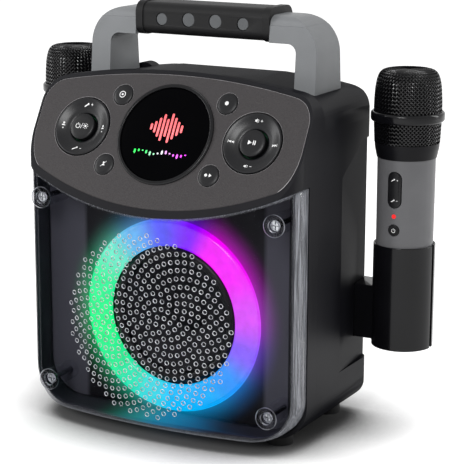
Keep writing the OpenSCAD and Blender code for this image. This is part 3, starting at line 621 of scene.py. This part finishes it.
def cap_face(across, up):
    """Prints on a button follow its domed cap, which falls with the square of the way from its middle."""
    return lambda x, v: on_panel(
        x + across, v + up, (1.2 - 0.000026 * (np.hypot(x, v) / mm) ** 2) * mm + 0.03 * mm)


sign_size = 1.25 * mm
sign_ring = 17.4 * mm / sign_size
left_signs = [
    *voice_sign(-1.2, sign_ring), *plus_sign(2.4, sign_ring + 0.4, 0.75),
    *voice_sign(-1.2, -sign_ring), stroke(1.7, -sign_ring, 3.1, -sign_ring, 0.3),
    *person_sign(-sign_ring, 1.0), triangle(-sign_ring, -1.9, 0.55, -90),
    *person_sign(sign_ring, 1.0), triangle(sign_ring, -1.9, 0.55, 90)]
right_signs = [
    *horn_sign(-0.6, sign_ring), *plus_sign(2.3, sign_ring, 0.7),
    *horn_sign(-0.6, -sign_ring), stroke(1.6, -sign_ring, 3.0, -sign_ring, 0.3)]
for sign, turn in ((-1, 180), (1, 0)):
    right_signs += [
        triangle(sign * (sign_ring - 0.9), 0, 0.85, turn), triangle(sign * (sign_ring + 0.7), 0, 0.85, turn),
        stroke(sign * (sign_ring + 1.8), -0.85, sign * (sign_ring + 1.8), 0.85, 0.35)]
printed("pad_left_signs", left_signs, sign_size, ring_face(-pad_across), "pad_left")
printed("pad_right_signs", right_signs, sign_size, ring_face(pad_across), "pad_right")
centre_left = [*power_sign(-2.7, -0.1, 0.95), stroke(-0.5, -1.7, 0.5, 1.7, 0.34), *lamp_sign(2.7, 0, 0.9)]
centre_right = [
    triangle(-1.3, 0, 1.35, 0), stroke(1.1, -1.35, 1.1, 1.35, 0.6), stroke(2.2, -1.35, 2.2, 1.35, 0.6)]
printed("centre_left_sign", centre_left, sign_size, cap_face(-pad_across, 0), "button_centre_left")
printed("centre_right_sign", centre_right, sign_size, cap_face(pad_across, 0), "button_centre_right")
small_signs = {
    "upper_left": arc_band(0, 0, 1.9, 0.45, 0, 360, 25) + [disc(0, 0, 0.7, 14)],
    "lower_left": person_sign(0, 0.3) + [stroke(-1.8, -1.7, 1.8, 1.9, 0.3)],
    "upper_right": [disc(0, 0, 1.25, 20)],
    "lower_right": [disc(-1.5, 0, 0.95, 18), triangle(1.4, 0, 1.1, 0)]}
for key, signs in small_signs.items():
    level, name = key.split("_")
    spot = cap_face((-1 if name == "left" else 1) * small_across, (1 if level == "upper" else -1) * small_up)
    printed(f"button_{key}_sign", signs, sign_size, spot, f"button_{key}")

# ---- light ring ----
# A frosted moulded ring, screwed to the board behind it, whose lamps light it in slow bands of colour. The
# bands start at the left edge and run down, to the right, and over the top.

band_colours = [
    (0.0, "10fa8c"), (0.04, "08ff88"), (0.11, "08f090"), (0.16, "1ce8b4"), (0.205, "3ce0e8"),
    (0.26, "00c0ff"), (0.33, "08b0ff"), (0.39, "2898ff"), (0.45, "8a60ff"), (0.52, "e050ff"),
    (0.60, "ff10ff"), (0.66, "ff00ff"), (0.71, "8208ff"), (0.77, "5a5afa"), (0.83, "64b4f0"),
    (0.89, "6cf0c8"), (0.95, "24f898"), (1.0, "10fa8c")]


def object_axes(tree):
    """The X, Y and Z of Object coordinates."""
    where = tree.nodes.new("ShaderNodeTexCoord")
    split = tree.nodes.new("ShaderNodeSeparateXYZ")
    put(tree, where.outputs["Object"], split.inputs[0])
    return split.outputs


def ring_colours(tree):
    """The colour of the light round the speaker axis, and the distance from that axis in metres."""
    axes = object_axes(tree)
    flat = tree.nodes.new("ShaderNodeCombineXYZ")
    put(tree, axes["X"], flat.inputs[0])
    put(tree, computed(tree, "SUBTRACT", axes["Z"], float(speaker_middle[2])), flat.inputs[1])
    round_angle = node_of(tree, "TexGradient", gradient_type="RADIAL")
    put(tree, flat.outputs[0], round_angle.inputs[0])
    bands = tree.nodes.new("ShaderNodeValToRGB")
    bands.color_ramp.interpolation = "EASE"
    while len(bands.color_ramp.elements) < len(band_colours):
        bands.color_ramp.elements.new(0.5)
    for stop, (place_at, code) in zip(bands.color_ramp.elements, band_colours):
        stop.position = place_at
        stop.color = tint(code)
    put(tree, round_angle.outputs["Fac"], bands.inputs[0])
    return bands.outputs[0], computed(tree, "LENGTH", flat.outputs[0], kind="VectorMath")


ring_lit, tree, ring_shader = principled("ring_light", Emission_Strength=1.3, Roughness=0.25)
ring_shader.inputs["Base Color"].default_value = tint("0a0a0c")
light_colour = ring_colours(tree)[0]
frost = between(tree, object_noise(tree, 7 * mm, 2.0), 0.85, 1.0)
put(tree, colour_between(tree, 1.0, light_colour, frost, "MULTIPLY"), ring_shader.inputs["Emission Color"])
bumped(tree, ring_shader, object_noise(tree, 0.4 * mm, 1.0), 0.003 * mm)
lens_profile = soft(np.array([
    [54, 0], [54, 2.4], [56.4, 4.6], [72.6, 4.6], [75, 2.4], [75, 0], [73.2, 0], [73.2, 1.9], [71.8, 3.1],
    [57.2, 3.1], [55.8, 1.9], [55.8, 0]]) * mm, 1.2 * mm)
turned("light_ring", lens_profile, on_speaker, "cabinet", ring_lit, ["light_ring_lens"],
       sides=160)

# ---- speaker and the board that carries it ----
# A black board behind the cover carries the woofer: a pressed basket, a rubber roll, and a paper cone with a
# dust cap.


def ring_spill(tree, shader, strength):
    """Painted glow: the ring's colour put on a surface as emission, fading over the next two and a half
    centimetres.
    """
    light_colour, light_distance = ring_colours(tree)
    spill = between(tree, light_distance, strength, 0.0, 73 * mm, 96 * mm)
    put(tree, light_colour, shader.inputs["Emission Color"])
    put(tree, computed(tree, "POWER", spill, 2.4), shader.inputs["Emission Strength"])


# the board is paler in two upright bands beside the ring: a painted reflection of soft lights in the bowed
# cover
board_black, tree, board_shader = principled("board_black", Specular_IOR_Level=0.15, Roughness=0.5)
board_cloud = between(tree, object_noise(tree, 20 * mm, 2.0), 0, 1)
board_tone = colour_between(tree, board_cloud, tint("09090c"), tint("0f0f13"))
across = object_axes(tree)["X"]
painted_reflection_band = computed(
    tree, "MULTIPLY", between(tree, computed(tree, "ABSOLUTE", across), 0.0, 1.0, 76 * mm, 80 * mm),
    between(tree, across, 1.0, 0.0, 97 * mm, 98 * mm))
put(tree, colour_between(tree, painted_reflection_band, board_tone, tint("47474e")), board_shader.inputs["Base Color"])
# the ring's light is painted onto the board as a glow
ring_spill(tree, board_shader, 0.8)
paint("baffle", board_black)
paper_black = moulded("paper_black", "101013", "151518", 0.6, 0.5, 0.004, gloss=0.15)
roll_black = moulded("roll_black", "0b0b0c", "101011", 0.38, 0.3, 0.003, gloss=0.2)
dressed("speaker_cone", paper_black, 0)
dressed("speaker_surround", roll_black, 0)
basket_black = moulded("basket_black", "101012", "18181a", 0.4, 0.3, 0.01)
for node in ("speaker_basket", "speaker_magnet"):
    paint(node, basket_black)
board_green = moulded("board_green", "0c4a28", "12603a", 0.4, 0.6, 0.005)
for node in ("light_ring_board", "control_board", "main_board", "mic_left_board", "mic_right_board"):
    paint(node, board_green)
frame_grey = moulded("frame_grey", "6a6a6c", "757577", 0.5, 0.3, 0.005)
for node in ("pad_frame_left", "pad_frame_right", "display_module"):
    paint(node, frame_grey)
paint("battery_pack", moulded("battery_wrap", "1c2c54", "24386a", 0.35, 0.5, 0.004))

# ---- clear front cover ----
# One clear moulding, a little smoky, bowed to the front, with rounded upright edges and a soft lower edge.
# Four screw posts hold it, and a round field of small holes lets the sound out.

cover_low, cover_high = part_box("front_cover")
cover_half = cover_high.x
bow = 447 * mm
bow_middle = cover_low.y + bow
upright_corner = 20 * mm
low_corner = 32 * mm
lower_fillet = 10 * mm
cover_back = datum_y + 20 * mm
# the cover's top edge is an arc that hides behind the cabinet's lip
lip_arc = 262.6 * mm
lip_middle = rim_top - 99.6 * mm + 262 * mm
cover_thick = 2.5 * mm


def cover_section(half, drawn_in):
    """The cover cut level: from the middle of the front along the bow, round the upright edge and back
    along the side. drawn_in moves the bow back."""
    reach = bow - drawn_in
    corner = upright_corner - drawn_in
    middle_x = half - corner
    middle_y = bow_middle - math.sqrt((reach - corner) ** 2 - middle_x ** 2)
    meet = math.asin(middle_x / (reach - corner))
    front = np.linspace(0, meet, 40)
    edge = np.linspace(meet, math.pi / 2, 14)[1:]
    side = np.linspace(middle_y, cover_back, 4)[1:]
    x = np.concatenate([reach * np.sin(front), middle_x + corner * np.sin(edge), np.full(3, half)])
    y = np.concatenate([bow_middle - reach * np.cos(front), middle_y - corner * np.cos(edge), side])
    return np.concatenate([-x[:0:-1], x]), np.concatenate([y[:0:-1], y])


rows = []
fillet_turn = np.linspace(0, math.pi / 2, 9)
levels = [(lower_fillet * (1 - math.cos(turn)), lower_fillet * (1 - math.sin(turn))) for turn in fillet_turn]
levels += [(height, 0) for height in np.linspace(lower_fillet, low_corner, 12)[1:]]
for height, drawn_in in levels:
    half = cover_half - low_corner + math.sqrt(low_corner ** 2 - (low_corner - height) ** 2)
    x, y = cover_section(half, drawn_in)
    rows.append(np.stack([x, y, np.full_like(x, cover_low.z + height)], -1))
under = rows[0].copy()
under[:, 1] = cover_back
rows.insert(0, under)
top = lip_middle - np.sqrt(lip_arc ** 2 - x ** 2)
start = cover_low.z + low_corner
rows += [np.stack([x, y, start + share * (top - start)], -1) for share in np.linspace(0, 1, 40)[1:]]
shell = np.array(rows)

# the black tray behind the cover follows its outline
tray_inset = 3.0 * mm
tray_half = cover_half - tray_inset
tray_corner = low_corner - tray_inset
bend = np.linspace(0, math.pi / 2, 14)
side_steps = 20
tray_top = lip_middle - math.sqrt(lip_arc ** 2 - tray_half ** 2)
side_z = np.linspace(tray_top, cover_low.z + low_corner, side_steps)[:-1]
tray_x = np.concatenate([
    np.full(side_steps - 1, tray_half), cover_half - low_corner + tray_corner * np.cos(bend),
    np.linspace(cover_half - low_corner, 0, side_steps)[1:]])
tray_z = np.concatenate([
    side_z, cover_low.z + low_corner - tray_corner * np.sin(bend),
    np.full(side_steps - 1, cover_low.z + tray_inset)])
tray_x = np.concatenate([tray_x, -tray_x[-2::-1]])
tray_z = np.concatenate([tray_z, tray_z[-2::-1]])
tray_front = bow_middle - np.sqrt(bow ** 2 - np.minimum(np.abs(tray_x), 104 * mm) ** 2) + 8 * mm
depth = np.linspace(0, 1, 6)[:, None]
tray_y = cover_back + 3 * mm + depth * (tray_front - cover_back - 3 * mm)
tray = np.stack(np.broadcast_arrays(tray_x, tray_y, tray_z), -1)
tray_black = moulded("tray_black", "26262c", "303036", 0.35, 0.4, 0.002, gloss=0.2)
# the ring's light is painted onto the tray as a glow
ring_spill(tray_black.node_tree, tray_black.node_tree.nodes["Principled BSDF"], 0.7)
tray_faces = grid_faces(*tray.shape[:2])
walled(finish_piece("cover_tray", tray, tray_faces, "cabinet", tray_black), 0.8 * mm, 0.0)


def edge_distance(tree):
    """How far a point of the cover lies inside its outline: the round-cornered box at the sides and bottom,
    and the arc of the lip at the top, the smaller of the two in metres."""
    def vector(operation, *values):
        """What a vector math node makes of the given places and outputs."""
        return computed(tree, operation, *values, kind="VectorMath")

    where = tree.nodes.new("ShaderNodeTexCoord").outputs["Object"]
    # the box reaches a metre above the cover, and any depth, so that only its sides and bottom count
    centred = vector("ABSOLUTE", vector("SUBTRACT", where, (0, 0, 1.0 + cover_low.z + low_corner)))
    beyond = vector("MAXIMUM", vector("SUBTRACT", centred, (cover_half - low_corner, 10, 1.0)))
    inside_box = computed(tree, "SUBTRACT", low_corner, vector("LENGTH", beyond))
    from_lip = vector("MULTIPLY", vector("SUBTRACT", where, (0, 0, lip_middle)), (1, 0, 1))
    below_lip = computed(tree, "SUBTRACT", vector("LENGTH", from_lip), lip_arc - 2.2 * mm)
    return computed(tree, "MINIMUM", inside_box, below_lip)


def clear_plastic(name, flat_share, edge_share, edge_low, edge_high, flat_gloss, paint_outline_highlight=False):
    """Clear smoky plastic: light goes straight through, and a share of it meets a dark glossy skin. The skin
    takes over and is painted pale where the surface turns away, a painted sheen, and along the outline where
    asked, a painted highlight with a faint glow."""
    made, tree, output = new_material(name)
    shader = tree.nodes.new("ShaderNodeBsdfPrincipled")
    turned_away = node_of(tree, "LayerWeight", in_0=0.5)
    painted_sheen_and_highlight = between(tree, turned_away.outputs["Facing"], 0.0, 1.0, edge_low, edge_high)
    if paint_outline_highlight:
        # along the outline the skin is painted pale and given a faint glow: a painted highlight, broken into
        # streaks
        highlight_streaks = between(tree, object_noise(tree, 0.7 * mm, 2.0, (1, 1, 40)), 0.25, 1.0)
        highlight_border = between(tree, edge_distance(tree), 1.0, 0.0, 2.2 * mm, 4.2 * mm)
        outline = computed(tree, "MULTIPLY", highlight_border, highlight_streaks)
        put(tree, computed(tree, "MULTIPLY", outline, 0.16), shader.inputs["Emission Strength"])
        shader.inputs["Emission Color"].default_value = tint("dfe2ea")
        painted_sheen_and_highlight = computed(tree, "MAXIMUM", painted_sheen_and_highlight, outline)
    put(tree, colour_between(tree, painted_sheen_and_highlight, tint("060608"), tint("a0a3aa")), shader.inputs["Base Color"])
    put(tree, between(tree, object_noise(tree, 6 * mm, 2.0), 0.12, 0.17), shader.inputs["Roughness"])
    put(tree, between(tree, painted_sheen_and_highlight, flat_gloss, 0.5, 0.0, 0.5), shader.inputs["Specular IOR Level"])
    straight = node_of(tree, "BsdfTransparent", in_0=tint("fafafc"))
    mix = tree.nodes.new("ShaderNodeMixShader")
    put(tree, between(tree, painted_sheen_and_highlight, flat_share, edge_share, 0.0, 1.0), mix.inputs[0])
    put(tree, straight.outputs[0], mix.inputs[1])
    put(tree, shader.outputs[0], mix.inputs[2])
    put(tree, mix.outputs[0], output.inputs["Surface"])
    return made


clear = clear_plastic("clear_smoky", 0.08, 0.75, 0.7, 1.0, 0.0, paint_outline_highlight=True)
clear_post = clear_plastic("clear_post", 0.04, 0.22, 0.45, 0.95, 0.0)
clear_collar = clear_plastic("clear_collar", 0.15, 0.9, 0.25, 0.6, 0.5)
cover = finish_piece("clear_cover", shell, grid_faces(*shell.shape[:2]), "cabinet", clear,
                     ["front_cover"], angle=60)
# the four screw posts in millimetres; the cover's skin is left open where they stand
post_places = [(99.4, 174.0), (-99.4, 174.0), (94.8, 30.5), (-94.8, 30.5)]
work = bmesh.new()
work.from_mesh(cover.data)
middles = np.array([face.calc_center_median() for face in work.faces])
near = np.zeros(len(middles), bool)
for post_x, post_z in post_places:
    near |= np.hypot(middles[:, 0] - post_x * mm, middles[:, 2] - post_z * mm) < 5.8 * mm
near &= middles[:, 1] < cover_back - 8 * mm
bmesh.ops.delete(work, geom=[face for face, cut in zip(list(work.faces), near) if cut], context="FACES")
work.to_mesh(cover.data)
work.free()
walled(cover, cover_thick, -1.0)


def on_bow(x, z, out):
    """A point of the cover's front face, out metres in front of it."""
    return np.stack([x, bow_middle - np.sqrt((bow + out) ** 2 - x ** 2), z], -1)


# each hole is turned by the golden angle from the last, and the field fills evenly
hole_count = 440
hole_field = 70 * mm
golden_angle = 137.508
number = np.arange(hole_count)
hole_turn = np.radians(number * golden_angle)
hole_reach = hole_field * np.sqrt((number + 0.5) / hole_count)
hole_x = hole_reach * np.cos(hole_turn)
hole_z = float(speaker_middle[2]) + 1.5 * mm + hole_reach * np.sin(hole_turn)
ring_steps = np.linspace(0, 2 * math.pi, 12, endpoint=False)
hole_profile = np.array([[1.85, -0.05], [1.75, 0.18], [1.55, 0.24], [1.4, 0.05], [1.3, -0.5]]) * mm
local_x = hole_profile[:, :1] * np.cos(ring_steps)
local_z = hole_profile[:, :1] * np.sin(ring_steps)
hole_points = on_bow(
    hole_x[:, None, None] + local_x, hole_z[:, None, None] + local_z,
    np.broadcast_to(hole_profile[:, 1:], local_x.shape)[None])
hole_faces = grid_faces(len(hole_profile), len(ring_steps), round_v=True, copies=hole_count)
# the rims run from dark grey to near white in patches a millimetre and a half across: painted glints
hole_rim_painted_glints = moulded("hole_rim_painted_glints", "4c4e54", "f4f6fa", 0.12, 1.0, 0.004, patch=1.4, gloss=0.7)
finish_piece("cover_holes", hole_points, hole_faces, "cabinet", hole_rim_painted_glints, angle=70,
             outward=False)

for i, (post_x, post_z) in enumerate(post_places):
    face = float(on_bow(np.array(post_x * mm), np.array(0.0), -cover_thick)[1])
    reach = datum_y - face

    def post_axis(x, z, out, post_x=post_x, post_z=post_z):
        """A place round the post, out metres in front of the datum plane."""
        x, z, out = np.broadcast_arrays(x, z, out)
        return np.stack([x + post_x * mm, datum_y - out, z + post_z * mm], -1)

    # a bored tube that stands on a thicker root, and the collar in which it meets the cover
    post_profile = soft([
        [2.1 * mm, 0], [4.6 * mm, 0], [4.6 * mm, reach], [7.5 * mm, reach], [7.5 * mm, -24 * mm],
        [2.1 * mm, -24 * mm]], 0.6 * mm)
    turned(f"cover_post_{i}", post_profile, post_axis, "cabinet", clear_post, sides=48)
    collar_profile = soft(np.array([
        [4.4, -2.4], [4.4, 0.3], [5.6, 0.7], [7.2, 0.5], [8.3, -0.5], [8.3, -2.4]]) * mm
        + [0, reach + cover_thick], 0.3 * mm)
    turned(f"cover_collar_{i}", collar_profile, post_axis, "cabinet", clear_collar, sides=48)

bright_steel = moulded("bright_steel", "8c8e92", "aeb0b4", 0.18, 0.4, 0.003, metal=1.0)
dressed("cover_screws", bright_steel, 0.15 * mm)
dark_steel = moulded("dark_steel", "3a3a3d", "4a4a4d", 0.35, 0.4, 0.003, metal=1.0)
paint("speaker_screws", dark_steel)
dressed("housing_screws", dark_steel, 0.15 * mm)

# ---- handle and grip ----
# A mid-grey satin bow on two legs that are let into the cabinet. A black rubber grip is moulded round its
# bar, with a flange at each end and four round grey insets on its front.

handle_grey = moulded("handle_grey", "727476", "797b7d", 0.42, 0.3, 0.004)
dressed("handle", handle_grey, 1.4 * mm)
grip_rubber = moulded("grip_rubber", "0c0c0d", "111112", 0.55, 0.6, 0.012, gloss=0.2)
dressed("handle_grip", grip_rubber, 1.0 * mm)
stud_grey = moulded("stud_grey", "4f5153", "5a5c5e", 0.35, 0.3, 0.005)
dressed("grip_studs", stud_grey, 0.5 * mm)

# ---- feet and rear face ----
# Four rubber feet are pressed into the floor of the cabinet. A small black plate let into the rear shell
# carries a metal power inlet and a round jack.

foot_rubber = moulded("foot_rubber", "0d0d0e", "131314", 0.6, 0.5, 0.02)
dressed("feet", foot_rubber, 0.8 * mm)
dressed("jack_plate", gloss_black, 0.3 * mm)
jack_metal = moulded("jack_metal", "9a9c9f", "b0b2b5", 0.25, 0.4, 0.002, metal=1.0)
for node in ("power_inlet", "audio_jack"):
    dressed(node, jack_metal, 0.2 * mm)

# ---- microphone holders ----
# A glossy black cup on each side, slit down its outer wall so that it grips the microphone, with an arm
# let into a notch in the cabinet's rear corner.

for side in ("left", "right"):
    dressed(f"holder_{side}", gloss_black, 0.7 * mm)

# ---- microphones ----
# Each is a mid-grey tube with a black collar, a glossy ring and a woven wire head over black foam. A rocker,
# a red lamp and a power button are let into its front.

mic_grey = moulded("mic_grey", "5e5e60", "656567", 0.36, 0.25, 0.004)
collar_black = moulded("collar_black", "0a0a0c", "0f0f12", 0.34, 0.22, 0.003, gloss=0.12)
foam = moulded("head_foam", "030303", "060606", 0.9, 0.8, 0.1, gloss=0.03)
wire_black = moulded("wire_black", "08080a", "0c0c0e", 0.13, 0.4, 0.002, gloss=0.4)
lamp_red = glowing("lamp_red", tint("e01818"), 0.7)
brass = moulded("capsule_brass", "8a7434", "a08a44", 0.3, 0.4, 0.002, metal=1.0)
wire_count = 52
wire_half = 0.33 * mm
wire_corner = 1.41 * wire_half
weave_height = 0.40 * mm
tube_radius = 21.9 * mm


def head_profile(top):
    """The wire head's outer half section: a slightly tapered side and a round crown, in metres, from the
    bottom to the top."""
    corners = np.array([
        [23.9, -54.2], [24.6, -40], [24.8, -31], [24.7, -24], [24.1, -14], [23.2, -8.5], [21.8, -4.4],
        [19.6, -1.7], [16.1, -0.6], [2.0, -0.35]])
    return soft(corners * mm + [0, top], 5 * mm, 6, closed=False)


def woven_head(name, place, top, body):
    """Two families of wires run up the head at 45 degrees, one each way, and pass over and under each other.
    Along a wire the turn grows by the step divided by the radius, so the openings stay square."""
    profile = head_profile(top)
    run = np.concatenate([[0], np.cumsum(np.linalg.norm(np.diff(profile, axis=0), axis=1))])
    fine_run = np.linspace(0, run[-1], 600)
    fine_radius = np.interp(fine_run, run, profile[:, 0])
    fine_turn = np.concatenate([[0], np.cumsum(np.diff(fine_run) / fine_radius[1:])])
    # samples at even turns, so that they fall on the crossings
    turn = np.linspace(0, fine_turn[-1], int(fine_turn[-1] / (math.pi / wire_count) * 2) + 1)
    along = np.interp(turn, fine_turn, fine_run)
    radius = np.interp(along, run, profile[:, 0])
    height = np.interp(along, run, profile[:, 1])
    slope = np.arctan2(np.gradient(radius), np.gradient(height))
    thin = np.clip(radius / tube_radius, 0.25, 1)
    first = np.arange(wire_count)[:, None] * 2 * math.pi / wire_count
    points = []
    for way in (-1, 1):
        wave = way * np.cos(turn * wire_count)[None] * weave_height * thin
        for corner_turn in math.pi / 4 + np.arange(4) * math.pi / 2:
            off_out = wave + wire_corner * thin * math.cos(corner_turn)
            off_side = wire_corner * thin * math.sin(corner_turn)
            wire_radius = radius + off_out * np.cos(slope)
            wire_height = height - off_out * np.sin(slope) + off_side * 0.7
            angle = first + way * turn[None] - way * off_side * 0.7 / np.maximum(radius, 1 * mm)
            points.append(place(wire_radius * np.cos(angle), wire_radius * np.sin(angle), wire_height))
    points = np.stack(points).reshape(2, 4, wire_count, len(turn), 3).transpose(0, 2, 3, 1, 4)
    faces = grid_faces(len(turn), 4, round_v=True, copies=2 * wire_count)
    return finish_piece(name, points, faces, body, wire_black, angle=80)


def mic_stand(side):
    """A microphone's axis across and deep, and the top of its head, in metres."""
    low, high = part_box(f"mic_{side}_ring")
    return (low.x + high.x) / 2, (low.y + high.y) / 2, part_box(f"mic_{side}_grille")[1].z


for side in ("left", "right"):
    body = f"mic_{side}"
    axis_x, axis_y, mic_top = mic_stand(side)

    def mic_axis(x, y, z, axis_x=axis_x, axis_y=axis_y):
        """A place round the microphone's upright axis."""
        x, y, z = np.broadcast_arrays(x, y, z)
        return np.stack([x + axis_x, y + axis_y, z], -1)

    woven_head(f"mic_{side}_wire", mic_axis, mic_top, body)
    inside = head_profile(mic_top)
    inside[:, 0] = np.maximum(inside[:, 0] - 1.3 * mm, 0)
    inside[:, 1] -= 1.1 * mm
    inside = np.concatenate([[[0, inside[0, 1]]], inside, [[0, inside[-1, 1]]]])
    turned(f"mic_{side}_foam", inside, mic_axis, body, foam, [f"mic_{side}_grille"],
           closed=False)
    ring_profile = soft(np.array([
        [25.3, -38.7], [26.6, -38.7], [27.6, -37.4], [27.6, -32.6], [26.6, -31.3], [25.3, -31.3]]) * mm
        + [0, mic_top], 1.2 * mm)
    turned(f"mic_{side}_band", ring_profile, mic_axis, body, gloss_black, [f"mic_{side}_ring"])
    dressed(f"mic_{side}_tube", mic_grey, 0.2 * mm)
    dressed(f"mic_{side}_collar", collar_black, 0.3 * mm)
    dressed(f"mic_{side}_end", satin_black, 0.3 * mm)
    dressed(f"mic_{side}_rocker", button_black, 0.5 * mm)
    dressed(f"mic_{side}_power", button_black, 0.4 * mm)
    paint(f"mic_{side}_lamp", lamp_red)
    paint(f"mic_{side}_capsule", brass)

# printed signs on the rocker and the power button: a voice with plus and minus, and the power sign
sign_size = 0.95 * mm
upper, lower = 7.6 * mm / sign_size, -8.0 * mm / sign_size
rocker_signs = [
    *voice_sign(-0.9, upper), *plus_sign(2.4, upper, 0.7),
    *voice_sign(-0.9, lower), stroke(1.7, lower, 3.1, lower, 0.3)]


def tube_face(side, middle, reach):
    """A place function that wraps a print round a tube's front, reach from its axis, middle under its top."""
    axis_x, axis_y, mic_top = mic_stand(side)
    return lambda x, v: np.stack([
        axis_x + reach * np.sin(x / reach), axis_y - reach * np.cos(x / reach), mic_top - middle + v], -1)


for side in ("left", "right"):
    printed(f"mic_{side}_rocker_signs", rocker_signs, sign_size, tube_face(side, 88.1 * mm, 22.43 * mm),
            f"mic_{side}_rocker")
    printed(f"mic_{side}_power_sign", power_sign(0, -0.2), sign_size, tube_face(side, 118.7 * mm, 22.25 * mm),
            f"mic_{side}_power")
